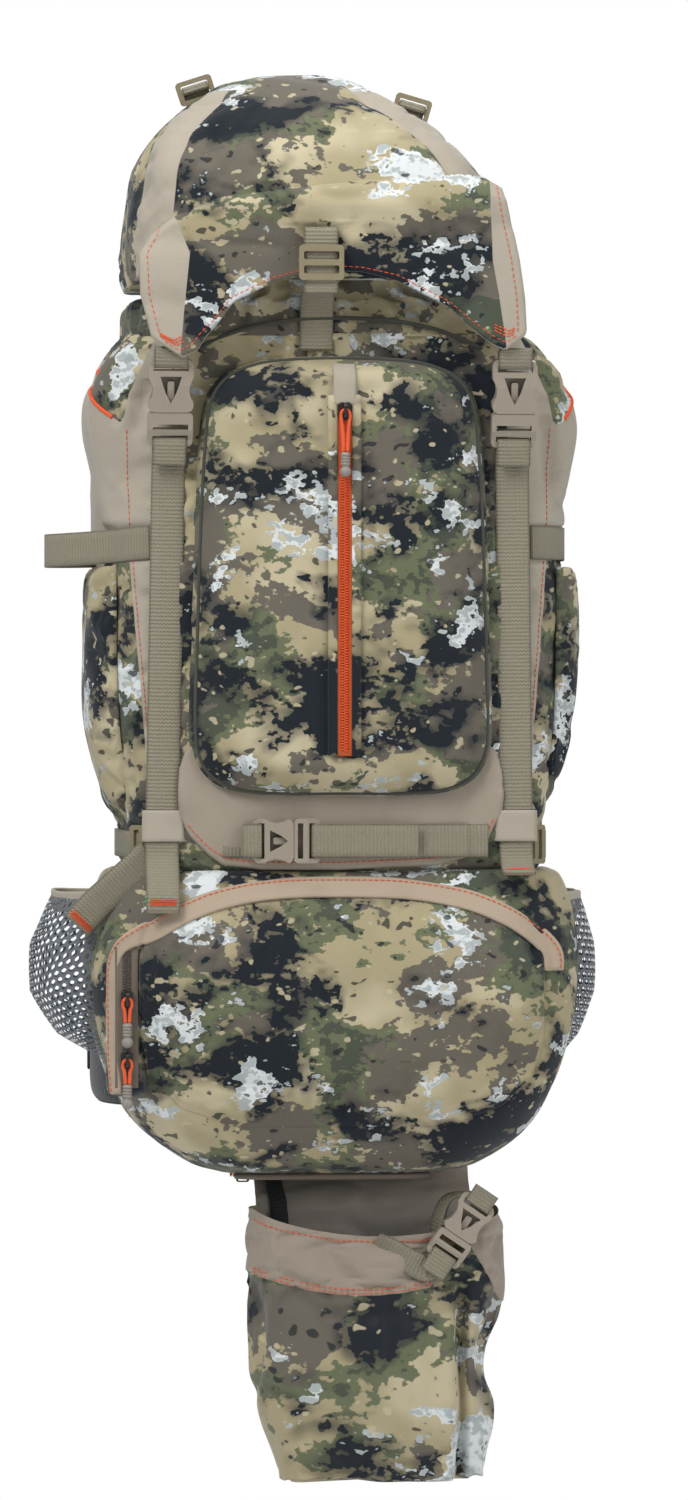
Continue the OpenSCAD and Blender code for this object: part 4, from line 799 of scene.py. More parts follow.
def webbing_of(name, code, edge="#6B6554"):
    """Woven nylon band: a sine of the point attribute run, in metres along, makes ribs across it, and it is
    darker at the selvedges, where the attribute side comes near 1."""
    made, tree = fresh(name)
    run = put(tree, "Attribute", attribute_name="run").outputs["Fac"]
    side = put(tree, "Attribute", attribute_name="side").outputs["Fac"]
    turn = put(tree, "Math", {0: run, 1: 2 * math.pi / RIB_PITCH}, operation="MULTIPLY").outputs[0]
    zig = put(tree, "Math", {0: side, 1: 18.0}, operation="MULTIPLY").outputs[0]
    zag = put(tree, "Math", {0: zig, 1: 2.0}, operation="PINGPONG").outputs[0]
    lean = put(tree, "Math", {0: zag, 1: turn}, operation="ADD").outputs[0]
    rib = put(tree, "Math", {0: lean}, operation="SINE").outputs[0]
    far = put(tree, "Math", {0: side}, operation="ABSOLUTE").outputs[0]
    rim = put(tree, "MapRange", {0: far, 1: 0.84, 2: 0.95}).outputs[0]
    weave = put(tree, "MapRange", {0: rib, 1: -1.0, 2: 1.0, 3: 0.0, 4: 0.35}).outputs[0]
    shade = put(tree, "Math", {0: weave, 1: rim}, operation="MAXIMUM").outputs[0]
    colour = put(tree, "Mix", {0: shade, 6: linear(code), 7: linear(edge)}, data_type="RGBA").outputs[2]
    bump = put(tree, "Bump", {"Height": rib, "Distance": 0.0003, "Strength": 0.8}).outputs[0]
    skin = put(tree, "BsdfPrincipled", {"Base Color": colour, "Roughness": 0.62, "Sheen Weight": 0.1,
                                        "Normal": bump})
    put(tree, "OutputMaterial", {"Surface": skin.outputs[0]})
    return made


def band(path, wide, width, thick=1.6, step=3.0):
    """Points, faces, run and side of a flat band: a rounded strip carried along a path, with its width along
    wide, which is one direction or one for each point."""
    p = np.asarray(path, float)
    far = np.append(0, np.cumsum(np.linalg.norm(np.diff(p, axis=0), axis=1)))
    wide = np.broadcast_to(np.asarray(wide, float), p.shape)
    p = along(p, max(int(far[-1] / step), 6))
    run = unit(np.gradient(p, axis=0))
    wide = np.stack([np.interp(np.linspace(0, far[-1], len(p)), far, column) for column in wide.T], 1)
    wide = unit(wide - run * (run * wide).sum(1, keepdims=True))
    out = np.cross(run, wide)
    h, t = width / 2, thick / 2
    across = np.array([-h, -h + 0.5, -h / 2, 0, h / 2, h - 0.5, h, h - 0.5, h / 2, 0, -h / 2, -h + 0.5])
    lift = np.array([0, 1, 1, 1, 1, 1, 0, -1, -1, -1, -1, -1]) * t
    ring = p[:, None] + wide[:, None] * across[:, None] + out[:, None] * lift[:, None]
    rows, cols = ring.shape[:2]
    faces = quads(rows, cols, True) + [list(range(cols))[::-1], list(range((rows - 1) * cols, rows * cols))]
    gone = np.append(0, np.cumsum(np.linalg.norm(np.diff(p, axis=0), axis=1))) * 0.001
    return ring.reshape(-1, 3), faces, np.repeat(gone, cols), np.tile(across / h, rows)


def strap(name, bands, material, body, nodes=()):
    """One object of several bands, with the attributes that the weave reads."""
    made = piece(name, *together([b[:2] for b in bands]), material)
    for key, column in (("run", 2), ("side", 3)):
        layer = made.data.attributes.new(key, "FLOAT", "POINT")
        layer.data.foreach_set("value", np.concatenate([b[column] for b in bands]))
    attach(made, body)
    if nodes:
        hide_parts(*nodes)


def bar_tack(middle, wide, ahead, width, length):
    """Paths of a dense block of stitches: rows across a strap, side by side along it."""
    middle, wide, ahead = (np.asarray(v, float) for v in (middle, wide, ahead))
    rows = np.arange(-length / 2, length / 2 + 0.1, 1.3)
    reach = wide * width / 2
    return [np.array([middle + ahead * r - reach, middle + ahead * r + reach]) for r in rows]


khaki_web = webbing_of("khaki_web", KHAKI)
TILT = math.radians(13.3)


def at_buckle(points):
    """Points (y, z) of a lid buckle's own frame in the pack's: turned by its tilt and moved to its mouth."""
    p = np.asarray(points, float)
    return np.stack([-244 + p[:, 0] * math.cos(TILT) - p[:, 1] * math.sin(TILT),
                     -55 + p[:, 0] * math.sin(TILT) + p[:, 1] * math.cos(TILT)], 1)


loop_front, loop_rear, loop_low = -3.05, 5.05, -20.25
through = at_buckle([(loop_front, -40), (loop_front, -30), (loop_front, loop_low - 1.2),
                     (loop_front + 1.2, loop_low), (loop_rear - 1.2, loop_low), (loop_rear, loop_low - 1.2),
                     (loop_rear, -30)])
down = [(-229.2, -107), (-229.1, -125), (-229.6, -200), (-229.2, -290), (-229.1, -345), (-229.2, -376),
        (-233, -386)]
for name, side, sway, tail in (("left", -1, -6, [(-252, -410), (-254, -424)]),
                               ("right", 1, 4, [(-246, -396), (-248, -392)])):
    yz = np.vstack([through, down, tail])
    lean = np.interp(yz[:, 1], [-424, -60], [sway, 0])
    route = np.stack([side * STRAP_X + lean, yz[:, 0], yz[:, 1]], 1)
    strap(f"lid_strap_{name}", [band(route, (1, 0, 0), WEB)], khaki_web, "pack",
          ("lid_straps",) if side < 0 else ())
    tack = bar_tack(along(route, 200)[-4] + [0, -1.3, 3], (1, 0, 0), (0, 0, 1), 20, 5)
    sewing(f"lid_strap_tack_{name}", tack, "pack", pitch=21, dash=20)

# Keepers: short sleeves of taupe cloth, one over each lid strap near its foot. They are sewn to the bag along
# both edges.
for name, side, shift in (("left", -1, -4), ("right", 1, 3)):
    span = np.linspace(-16, 16, 21)
    lift = 3.4 * np.clip((16 - np.abs(span)) / 3.5, 0, 1) ** 0.6
    grid = spread(side * STRAP_X + span + shift, -228.6 - lift, np.linspace(-371, -349, 12)[:, None])
    grid = grid + normals(grid) * (0.4 * rumple(grid, 9, 81))[..., None]
    made = piece(f"keeper_{name}", *slab(grid, 1.2), taupe_cloth)
    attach(made, "pack")
    if side < 0:
        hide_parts("strap_keepers")

# Lid tabs and loops: webbing folded round each socket's bar and sewn under the lid's flap, and short loops on
# the dome, which hold the two top slides.
NARROW_WEB = 20
tab = at_buckle([(-3.55, 49), (-3.55, 36), (-3.4, 34), (-2.35, 33.25), (4.35, 33.25), (5.4, 34), (5.55, 36),
                 (5.55, 45)])
tabs = [band([(s * STRAP_X, y, z) for y, z in tab], (1, 0, 0), WEB) for s in (-1, 1)]
strap("lid_tabs_web", tabs, khaki_web, "lid", ("lid_tabs",))
fold = [(-130.9, -27), (-130.9, -8), (-130.7, 2), (-132.2, 3.6), (-135.5, 3.4), (-136.2, 1.5), (-136.0, -1.5)]
loops = []
for x, z, lean in ((-101, 191.4, math.radians(-18)), (62, 179, math.radians(16))):
    c, s = math.cos(lean), math.sin(lean)
    loops.append(band([(x + h * s, y, z + h * c) for y, h in fold], (c, 0, -s), NARROW_WEB, step=1.5))
strap("lid_loops_web", loops, khaki_web, "lid", ("lid_loop_tabs",))

# Side compression straps: webbing round the front corners of the bag, the upper left one slack in a loop.
# The lower straps draw in the bag's foot; the left one's tail hangs below its ladder lock.
def round_corner(angles, r):
    """Points (x, y) on a circle just outside the bag's front corner of radius r, at angles from the side."""
    turn = np.radians(angles)
    reach = r + 2.4
    return np.stack([108 + reach * np.cos(turn), r - 228 - reach * np.sin(turn)], 1).tolist()


slack = round_corner([60, 52, 44, 36, 28], 62) + [
    (185.3, -176), (204.2, -155.8), (214.1, -138.2), (205.9, -119.7), (185.3, -103.8), (172.9, -88),
    (172.4, -70), (172.4, -44)]
snug = round_corner([58, 48, 38, 28, 18, 9, 0], 62) + [(172.4, -100), (172.4, -44)]
low_snug = round_corner([58, 48, 38, 28, 18, 9, 0], 46) + [(156.4, -100), (156.4, -44)]
slack = [(-x, y, UPPER_STRAP_Z + 5 * math.sin((y + 44) / 60)) for x, y in slack]
upper = [band(slack, (0, 0, 1), WEB), band([(x, y, UPPER_STRAP_Z) for x, y in snug], (0, 0, 1), WEB)]
lower = [band([(s * x, y, LOWER_STRAP_Z) for x, y in low_snug], (0, 0, 1), 21) for s in (-1, 1)]
tail = [(-140, -224, -380), (-152, -222, -392), (-166, -217, -405), (-181, -211, -419), (-194, -207, -434)]
lower.append(band(tail, (0.72, 0, -0.69), 24))
strap("side_straps_web", upper + lower, khaki_web, "pack", ("side_straps",))
tack = bar_tack((-191, -209.6, -430.5), (0.72, 0, -0.69), (-0.67, 0.2, -0.71), 20, 4)
sewing("side_strap_tack", tack, "pack", pitch=21, dash=20)

# Front strap: 25 mm webbing that closes over the boat flap with a side-release buckle. Its anchors are sewn
# to the bag at both sides, and the plug's end is doubled back.
FRONT_STRAP_Z = -371


def level(path, step):
    """A band of webbing through points (x, y), all at the front strap's height."""
    return band([(x, y, FRONT_STRAP_Z) for x, y in path], (0, 0, 1), WEB, step=step)


loop = [(57, -242.3), (20, -242.6), (-15, -242.4), (-20.5, -242.3), (-21.75, -241.1), (-21.75, -235.5),
        (-20.5, -234.3), (-15, -234.3), (20, -234.6), (57, -234.3)]
strap("front_strap_web", [level(loop, 2)], khaki_web, "front_plug", ("front_strap_loop",))
left = [(-73.5, -242.8), (-61.5, -242.8), (-60.3, -241.6), (-60.3, -235), (-61.5, -233.8), (-87.5, -233.7)]
right = [(40, -236.2), (88, -236.2), (96, -233.8), (109, -233.4)]
strap("front_anchor_web", [level(left, 1.5), level(right, 1.5)], khaki_web, "pack", ("front_anchors",))

# Holding strap: webbing sewn to the bag above the pocket, led out under the lid's flap and up its front. Its
# end is folded through a three-bar slide.
LIMB_X = -18
limb = [(-229.2, -9), (-229.1, 14), (-240, 30), (-256, 34), (-264.8, 40), (-266.6, 50), (-266.5, 72),
        (-267.6, 77.5), (-269.4, 78.8), (-271, 77.2), (-271.5, 72), (-271.5, 31)]
limb_band = band([(LIMB_X, y, z) for y, z in limb], (1, 0, 0), WEB, step=2)
strap("limb_strap_web", [limb_band], khaki_web, "pack", ("limb_strap",))

# Bottom compartment: a bulging sack of camouflage cloth below the main bag, for a sleeping bag.
# A wide zipped door closes the opening in its front, under a taupe rain flap that follows the zip's arch.
BASE = [(-617.0, 0, 84, -188, -54, 40), (-609.3, 0, 108, -211, -38, 48), (-587.3, 0, 139, -232, -20, 56),
        (-557.3, 0, 160, -244, -10, 62), (-512.3, 0, 175, -249, -4, 66), (-467.3, 0, 180, -250, -4, 66),
        (-427.3, 0, 176, -245, -4, 66), (-400, 0, 168, -234, -4, 60), (-394, 0, 160, -226, -6, 58)]
DOOR_HALF = 150.0
base_cloth = cloth("base_cloth", (0.2, 0.9, 0.44))
base_fine = along(np.asarray(BASE, float), 200)


def base_front(x, z, off=0.0):
    """The compartment's front y at x and z: flat in the middle, then round the corner of the section at that
    height, moved out by off."""
    half, front, corner = (np.interp(z, base_fine[:, 0], base_fine[:, k]) for k in (2, 3, 5))
    past = np.clip(np.abs(x) - half + corner, 0, corner * 0.999)
    return front + corner - np.sqrt((corner + off) ** 2 - (past * (corner + off) / corner) ** 2)


def arch(x):
    """Height of the door's top edge: level in the middle and falling with the cube of the distance."""
    return -411.3 - 40 * (np.abs(x) / DOOR_HALF) ** 3


def door_foot(x):
    """Height of the door's lower edge: level in the middle, and rising in straight steps to its corners."""
    return np.interp(np.abs(x), [0, 76, 118, 141, 150], [-581.3, -581.3, -567.3, -545.3, -519.3])


base_grid = ring_of(BASE, 110, 240)
x, y, z = (base_grid[..., k] for k in range(3))
outside = np.maximum.reduce([np.abs(x) - DOOR_HALF, door_foot(x) - z, z - arch(x), (y + 160) * 0.5])
doorway = outside < -9
quiet = np.clip((-20 - y) / 60, 0, 1)
flush = np.interp(outside + 4.0 * (z < -530), [-6, 0, 3], [-2.0, -1.0, 2.6])
give = flush + 1.2 * rumple(base_grid, 60, 51) - 1.6 * folds(base_grid, 60, (1.4, 1.4, 1), 52)
base_grid = base_grid + normals(base_grid, True) * (quiet * give)[..., None]
base_skin = sack("bottom_cloth", base_grid, base_cloth, roof=True, hole=doorway)
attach(base_skin, "pack")
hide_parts("bottom_compartment")
lining_cloth = cloth("lining_cloth", plain="#6B665D")
lining_grid = base_grid - normals(base_grid, True) * 2.5
lining = sack("bottom_lining", lining_grid, lining_cloth, roof=True, hole=doorway)
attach(lining, "pack")
door_x = np.linspace(-DOOR_HALF, DOOR_HALF, 65)
rise = np.linspace(0, 1, 40)[:, None]
door_z = door_foot(door_x) + (arch(door_x) - door_foot(door_x)) * rise
door_grid = spread(door_x, base_front(door_x, door_z, 3.2), door_z)
held = (rise < 0.03) | (rise > 0.97) | (np.abs(door_x) > 146)
door_grid = finer(settle(door_grid, held, wrap=False, pressure=3.5, grow=0.05, cap=8), wrap=False)
edge_calm = np.minimum(np.linspace(0, 1, len(door_grid)), np.linspace(1, 0, len(door_grid)))[:, None]
calm = np.clip(np.minimum(edge_calm * 9, (DOOR_HALF - np.abs(door_grid[..., 0])) / 16), 0, 1)
door_grid = door_grid + normals(door_grid) * (calm * (1.6 + 1.6 * rumple(door_grid, 62, 53) + 0.9 * rumple(
    door_grid, 22, 54) - 2.6 * folds(door_grid, 58, (1.5, 1, 0.9), 55)))[..., None]
door = piece("compartment_door_cloth", *slab(door_grid, 2.2), base_cloth)
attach(door, "door")
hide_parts("compartment_door")

# Rain flap: a doubled band of taupe cloth, sewn over the zip along the door's arch. At the left it narrows
# to a binding that runs down outside the zip.
lifts = ((151, 6), (138, 7), (120, 7), (90, 6.5), (50, 6.5), (0, 6.5))
half = [(x, arch(x) + lift) for x, lift in lifts]
left_end = [(-167.5, -556), (-169.5, -530), (-169.8, -500), (-169.8, -474), (-169, -460), (-165.5, -451),
            (-159, -445), (-151, -441)]
right_end = [(157, -455), (157.5, -466)]
route = along(left_end + [(-a, b) for a, b in half[1:]] + half[-2::-1] + right_end, 220)
run = unit(np.gradient(route, axis=0))
across = np.linspace(-1, 1, 10)[:, None, None] * np.interp(route[:, 0], [-168, -148], [3.5, 6.5])[:, None]
flat = route + across * np.stack([-run[:, 1], run[:, 0]], 1)
over_zip = np.interp(flat[..., 0], [-180, -173, -167, -162, -150, -138],
                     [-229, -236.5, -242, -244.8, -245.2, -238])
rain_y = np.minimum(base_front(flat[..., 0], flat[..., 1], 4.6) + across[..., 0] * 0.12, over_zip)
rain_grid = np.stack([flat[..., 0], rain_y, flat[..., 1]], -1)
rain_grid = rain_grid + normals(rain_grid) * (0.8 * rumple(rain_grid, 24, 56))[..., None]
binding = cloth("binding_cloth", plain="#AB9A86")
rain = piece("rain_flap_cloth", *slab(rain_grid, 2.2), binding)
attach(rain, "pack")
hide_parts("rain_flap")
sewing("rain_flap_stitches", [rain_grid[-2] + [0, -0.5, 0]], "pack")

# Mesh pockets: stretch pockets of open grey mesh on both sides of the compartment. They are sewn to it at the
# foot and both edges, where they are bound, and hemmed with taupe cloth at the mouth.
HOLE_RUN, HOLE_RISE = 0.0064, 0.0055     # metres from hole to hole


def mesh_of(name, code):
    """Open knit: six-sided holes on a staggered grid, cut by transparency where a point lies near the middle
    of its cell. The point attributes run and rise are the distances along and up the cloth."""
    made, tree = fresh(name)

    def sums(kind, *values):
        """The result of one math node."""
        return put(tree, "Math", dict(enumerate(values)), operation=kind).outputs[0]

    run, rise = (put(tree, "Attribute", attribute_name=key).outputs["Fac"] for key in ("run", "rise"))
    row = sums("MULTIPLY", rise, 1 / HOLE_RISE)
    odd = sums("MODULO", sums("FLOOR", row), 2.0)
    col = sums("MULTIPLY_ADD", odd, 0.5, sums("MULTIPLY", run, 1 / HOLE_RUN))
    u = sums("ABSOLUTE", sums("SUBTRACT", sums("FRACT", col), 0.5))
    v = sums("ABSOLUTE", sums("SUBTRACT", sums("FRACT", row), 0.5))
    far = sums("MAXIMUM", u, sums("MULTIPLY_ADD", u, 0.5, sums("MULTIPLY", v, 0.75)))
    solid = put(tree, "MapRange", {0: far, 1: 0.29, 2: 0.33}).outputs[0]
    skin = put(tree, "BsdfPrincipled", {"Base Color": linear(code), "Roughness": 0.8})
    clear = put(tree, "BsdfTransparent")
    feeds = {0: solid, 1: clear.outputs[0], 2: skin.outputs[0]}
    put(tree, "OutputMaterial", {"Surface": put(tree, "MixShader", feeds).outputs[0]})
    return made


def patch_pocket(side, wall, middle, levels, outs, depths, inset, rows, cols):
    """Grid of a pocket on a side wall: at each height a half superellipse standing out from the wall."""
    turn = np.linspace(0, np.pi, cols)
    z = np.linspace(levels[0], levels[-1], rows)[:, None]
    reach = np.interp(z, levels, outs) + inset
    deep = np.interp(z, levels, depths)
    out = np.abs(np.sin(turn)) ** 0.6
    run = np.sign(np.cos(turn)) * np.abs(np.cos(turn)) ** 0.75
    x = side * (np.interp(z, wall[:, 0], wall[:, 2]) - inset + reach * out)
    return spread(x, middle - side * deep * run, z)


grey_mesh = mesh_of("grey_mesh", "#62686E")
levels, depths = [-534, -517, -485, -449, -412], [55, 68, 75, 75, 70]
for name, side, out in (("left", -1, 46.0), ("right", 1, 20.0)):
    outs = np.array([0.12, 0.66, 1, 1, 0.74]) * out
    grid = patch_pocket(side, base_fine, -120, levels, outs, depths, 8, 46, 70)
    grid = grid + normals(grid) * (1.6 * rumple(grid, 34, 61 + side))[..., None]
    made = piece(f"mesh_{name}", grid.reshape(-1, 3), quads(46, 70), grey_mesh)
    for key, axis in (("run", 1), ("rise", 0)):
        steps = np.linalg.norm(np.diff(grid, axis=axis, prepend=np.take(grid, [0], axis)), axis=-1)
        layer = made.data.attributes.new(key, "FLOAT", "POINT")
        layer.data.foreach_set("value", 1 + 0.001 * np.cumsum(steps, axis).ravel())
    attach(made, "pack")
    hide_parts(f"mesh_pocket_{name}")
    wrap = unit(normals(grid)[-1])
    hem_rows = np.stack([grid[-1] + wrap * 1.2 + [0, 0, h] for h in (-12, -6, 0, 1.5)])
    made = piece(f"mesh_hem_{name}", *slab(hem_rows, 2.0), taupe_cloth)
    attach(made, "pack")
    rod = grid[3:] + normals(grid)[3:] * 0.8
    rods = [tube(rod[:, 0], 1.6, 8), tube(rod[:, -1], 1.6, 8)]
    made = piece(f"mesh_binding_{name}", *together(rods), binding)
    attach(made, "pack")

# Side pockets: slim patch pockets of camouflage cloth on the sides of the bag. They are sewn on at the foot
# and both edges, and open at the top.
bag_fine = along(np.asarray(BAG, float), 200)
levels, depths = [-361, -339, -291, -228, -168], [46, 61, 69, 69, 69]
row, col = np.arange(40)[:, None], np.arange(46)
seamed = (col < 2) | (col > 43) | (row < 2) | (row > 38)
for name, side, shift, outs in (("left", -1, (0.7, 0.7, 0.2), [2, 8, 11, 11, 9.5]),
                                ("right", 1, (0.15, 0.6, 0.66), [0.5, 2, 7, 11, 9.5])):
    grid = patch_pocket(side, bag_fine, -129, levels, outs, depths, 6, 40, 46)
    grid = finer(settle(grid, seamed, wrap=False, pressure=2.5, grow=0.06, cap=5), wrap=False)
    give = 1.2 * rumple(grid, 45, 64) - 1.6 * folds(grid, 44, (1, 1, 1.4), 65)
    grid = grid + normals(grid) * give[..., None]
    made = piece(f"side_pocket_{name}", *slab(grid, 1.6), cloth(f"side_cloth_{name}", shift))
    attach(made, "pack")
    if side < 0:
        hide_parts("side_pockets")

# Boot: a flat pouch of coated camouflage cloth that hangs below the compartment on a thin liner. Its front
# has a taupe hem band, and folds in at the right over a side gusset. The seams are orange.
BOOT = [(-849.0, 27, 73, -192, -156, 14), (-844, 27.5, 80, -198, -150, 18), (-836, 28, 83, -201, -147, 20),
        (-767, 30, 90, -206, -142, 24), (-705.5, 30, 93, -206, -142, 24), (-664, 30, 93, -206, -142, 24),
        (-645, 30, 93, -206, -142, 24)]
boot_cloth = cloth("boot_cloth", (0.91, 0.33, 0.47), trim="#968A7C", scale=1.4, rough=0.6)
boot_grid = ring_of(BOOT, 60, 108)
x, y, z = (boot_grid[..., k] for k in range(3))
held = (z > -652) | (z < -846) | ((np.abs(z + 700) < 3) & (y < -200))
boot_grid = finer(settle(boot_grid, held, pressure=1.5, grow=0.05, cap=7))
x, y, z = (boot_grid[..., k].copy() for k in range(3))
front = np.clip((-176 - y) / 20, 0, 1)
mouth = 20 * np.sin(np.clip((x + 62) / 190, 0, 1) * np.pi) ** 0.7
boot_grid[..., 2] -= front * mouth * np.clip((z + 712) / 66, 0, 1) ** 1.5
tuck = np.clip((-690 - z) / 50, 0, 1)
boot_grid[..., 1] += front * tuck * (16 * np.exp(-((x - 93) / 4.5) ** 2) + 9 * np.clip((x - 88) / 5, 0, 1))
boot_grid[..., 2] += front * 9 * np.clip((x - 88) / 5, 0, 1) * np.clip((-800 - z) / 40, 0, 1)
boot_grid[..., 0] -= np.clip((x - 95) / 20, 0, 1) * 11 * np.exp(-((z + 757) / 24) ** 2)
boot_grid[..., 0] += np.clip((-x - 10) / 40, 0, 1) * 15 * np.clip((-765 - z) / 80, 0, 1) ** 1.3
x, y, z = (boot_grid[..., k] for k in range(3))
hem_line = -688 - 21 * np.sin(np.clip((x + 75) / 190, 0, 1) * np.pi) ** 0.9
give = 1.6 * rumple(boot_grid, 46, 71) + 0.8 * rumple(boot_grid, 18, 72)
give = give - 3.2 * folds(boot_grid, 50, (1.1, 1.1, 1.5), 73)
hem = np.minimum(z - hem_line, np.minimum(70 - x, (-165 - y) * 2))
hem = np.maximum(hem, np.minimum(x - 98, z + 672 + 1.6 * (x - 98)))
boot_grid = boot_grid + normals(boot_grid, True) * np.where(hem > 0, 1.0 + 0.6 * give, give)[..., None]
boot_skin = panel_of(sack("boot_cloth", boot_grid, boot_cloth), hem)
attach(boot_skin, "boot")
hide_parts("boot_pouch")
face = np.roll(boot_grid, 14, 1)[:, :50].transpose(1, 0, 2)
field = np.roll(boot_grid[..., 2] - hem_line, 14, 1)[:, :50].T
low_seam = crossing(face, field)
low_seam = low_seam[low_seam[:, 0] < 70]
upper_seam = np.roll(boot_grid, 14, 1)[-5, :50]
upper_seam = upper_seam[upper_seam[:, 0] < 84]
end_seam = spread(69.0, low_seam[-1, 1] - 0.4, np.linspace(low_seam[-1, 2], -668, 12))
boot_seams = [low_seam + [0, -0.7, 1.5], low_seam + [0, -0.7, 4.5], upper_seam + [0, -0.7, 0], end_seam]
sewing("boot_stitches", boot_seams, "boot")

# Boot liner: a sheet of thin plain nylon, sewn to the compartment's floor behind the zip. It hangs down
# inside the boot, whose pouch is sewn to it, and wrinkles between the two seams.
liner_path = along([(-127, -618), (-129, -624), (-145, -638), (-150.5, -652), (-151.5, -686)], 30)
grid = spread(np.linspace(-57, 105, 60), liner_path[:, :1], liner_path[:, 1:])[::-1]
give = 1.6 * rumple(grid, 16, 75) - 2.2 * folds(grid, 26, (1.6, 1, 0.7), 76)
give = give * np.sin(np.linspace(0, np.pi, 30))[:, None]
grid = grid + normals(grid) * give[..., None]
liner_nylon = finish_of("liner_nylon", "#A0968B", 0.45, grain(0.0015), 0.0003)
liner = piece("boot_liner_cloth", grid.reshape(-1, 3), quads(30, 60), liner_nylon)
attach(liner, "boot")
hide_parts("boot_liner")

# Boot zip: a brown coil zip across the floor of the compartment, from which the boot folds out. Its tape is
# sewn to the floor, and the edge in front of it is bound in the same brown.
BOOT_ZIP_HALF = 76
brown_tape = finish_of("brown_tape", "#6B6155", 0.8, grain(0.0015), 0.0004)
brown_coil = finish_of("brown_coil", "#574E44", 0.5)
tape_x = np.linspace(-BOOT_ZIP_HALF, BOOT_ZIP_HALF, 60)
grid = spread(tape_x, np.linspace(-131, -145, 8)[:, None], -619.0)
made = piece("boot_zip_tape", *slab(grid, 1.0), brown_tape)
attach(made, "pack")
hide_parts("boot_zip")
edge_x = np.linspace(-74, 70, 50)
edge = spread(edge_x, base_front(edge_x, np.full(50, -616.9), 5.0), -621.3)
made = piece("boot_zip_edge", *tube(edge, 2.3, 8), brown_tape)
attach(made, "pack")
ends = [(s * BOOT_ZIP_HALF, -145.5, -620.5) for s in (-1, 1)]
made = piece("boot_zip_coil", *zip_chain(*ends, (0, -1, 0), (0, 0, 1)), brown_coil)
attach(made, "pack")
tacks = [path for end in (-74, 74) for path in bar_tack((end, -147, -620.5), (0, 0, 1), (1, 0, 0), 5, 4)]
sewing("boot_zip_tacks", tacks, "pack", pitch=6, dash=5)

# Boot strap: 20 mm webbing across the boot's hem, one end sewn to the front of the pouch and the other led
# into its mouth. A small side-release buckle joins them.
LEAN = math.radians(34)


def at_boot(points):
    """Points (y, z) of the boot buckle's own frame in the pack's: turned by its lean and moved into place."""
    return [(88 + z * math.sin(LEAN), -212.4 + y, -664.3 + z * math.cos(LEAN)) for y, z in points]


wide = (math.cos(LEAN), 0, -math.sin(LEAN))
lower = at_boot([(-3.05, -34), (-3.05, -20), (-2.9, -17.3), (-1.85, -16.3), (3.85, -16.3), (4.9, -17.3),
                 (3.5, -21)])
lower += [(66, -210.5, -689), (52, -210, -683), (40, -210, -675), (28, -209, -668)]
lower_wide = [wide] * 7 + [(0.5, 0, -0.85), (0.05, 0.25, -1), (-0.3, 0.5, -0.85), (-0.4, 0.8, -0.5)]
upper = at_boot([(-3.55, 40), (-3.55, 29), (-3.4, 27.3), (-2.35, 26.3), (4.35, 26.3), (5.4, 27.3), (5.0, 31)])
upper += [(106, -206, -638), (101, -203, -634.5), (90, -199, -635), (81, -195, -641), (76, -192, -654),
          (74, -190, -672)]
upper_wide = [wide] * 7 + [(0.7, 0.6, -0.35), (0.4, 0.9, 0), (0.1, 1, 0.1), (-0.2, 0.95, 0.2),
                           (-0.3, 0.9, 0.3), (-0.3, 0.9, 0.3)]
halves = [band(*route, NARROW_WEB, step=1.5) for route in ((lower, lower_wide), (upper, upper_wide))]
strap("boot_strap_web", halves, khaki_web, "boot", ("boot_strap",))

# Carry strap: a narrow black webbing, sewn to the compartment's floor. It is led into the boot in front of
# the liner's left end.
BLACK_WEAVE = ("#26272A", "#161719")
carry = [(-43, -137, -626), (-42, -144, -634), (-40, -152, -646), (-38, -157, -676)]
strap("boot_carry_web", [band(carry, (1, 0, 0), 13)], webbing_of("carry_web", *BLACK_WEAVE), "boot")

# Compartment zip: the lower end of the door's zip at the left, a brown coil on brown tape. It is sewn to a
# gusset of camouflage cloth.
BASE_ZIP_X, BASE_ZIP_Y = -159, -242.9
zip_z = np.linspace(-552, -449, 40)[:, None]
grid = spread(np.linspace(BASE_ZIP_X - 8, BASE_ZIP_X + 8, 9), BASE_ZIP_Y, zip_z)
tape = piece("base_zip_tape", *slab(grid, 1.2), brown_tape)
ends = [(BASE_ZIP_X, BASE_ZIP_Y, z) for z in (-451, -552)]
chain = piece("base_zip_coil", *zip_chain(*ends, (0, -1, 0), (1, 0, 0)), brown_coil)
for made in (tape, chain):
    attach(made, "pack")
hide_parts("base_zip")
grid = grid + [0, 1.4, 0]
made = piece("base_zip_gusset", *slab(grid, 14), base_cloth)
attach(made, "pack")

# Harness: foam under black spacer mesh. The back panel has an upright air channel and two cross channels, the
# shoulder straps and the hip belt are edged with webbing, and everything is sewn to the panel.
black_pad = finish_of("black_pad", "#2B2C2E", 0.9, grain(0.003), 0.0008, Sheen_Weight=0.2)
black_web = webbing_of("black_web", *BLACK_WEAVE)
black_trim = finish_of("black_trim", "#1F2022", 0.7, grain(0.0015), 0.0004)


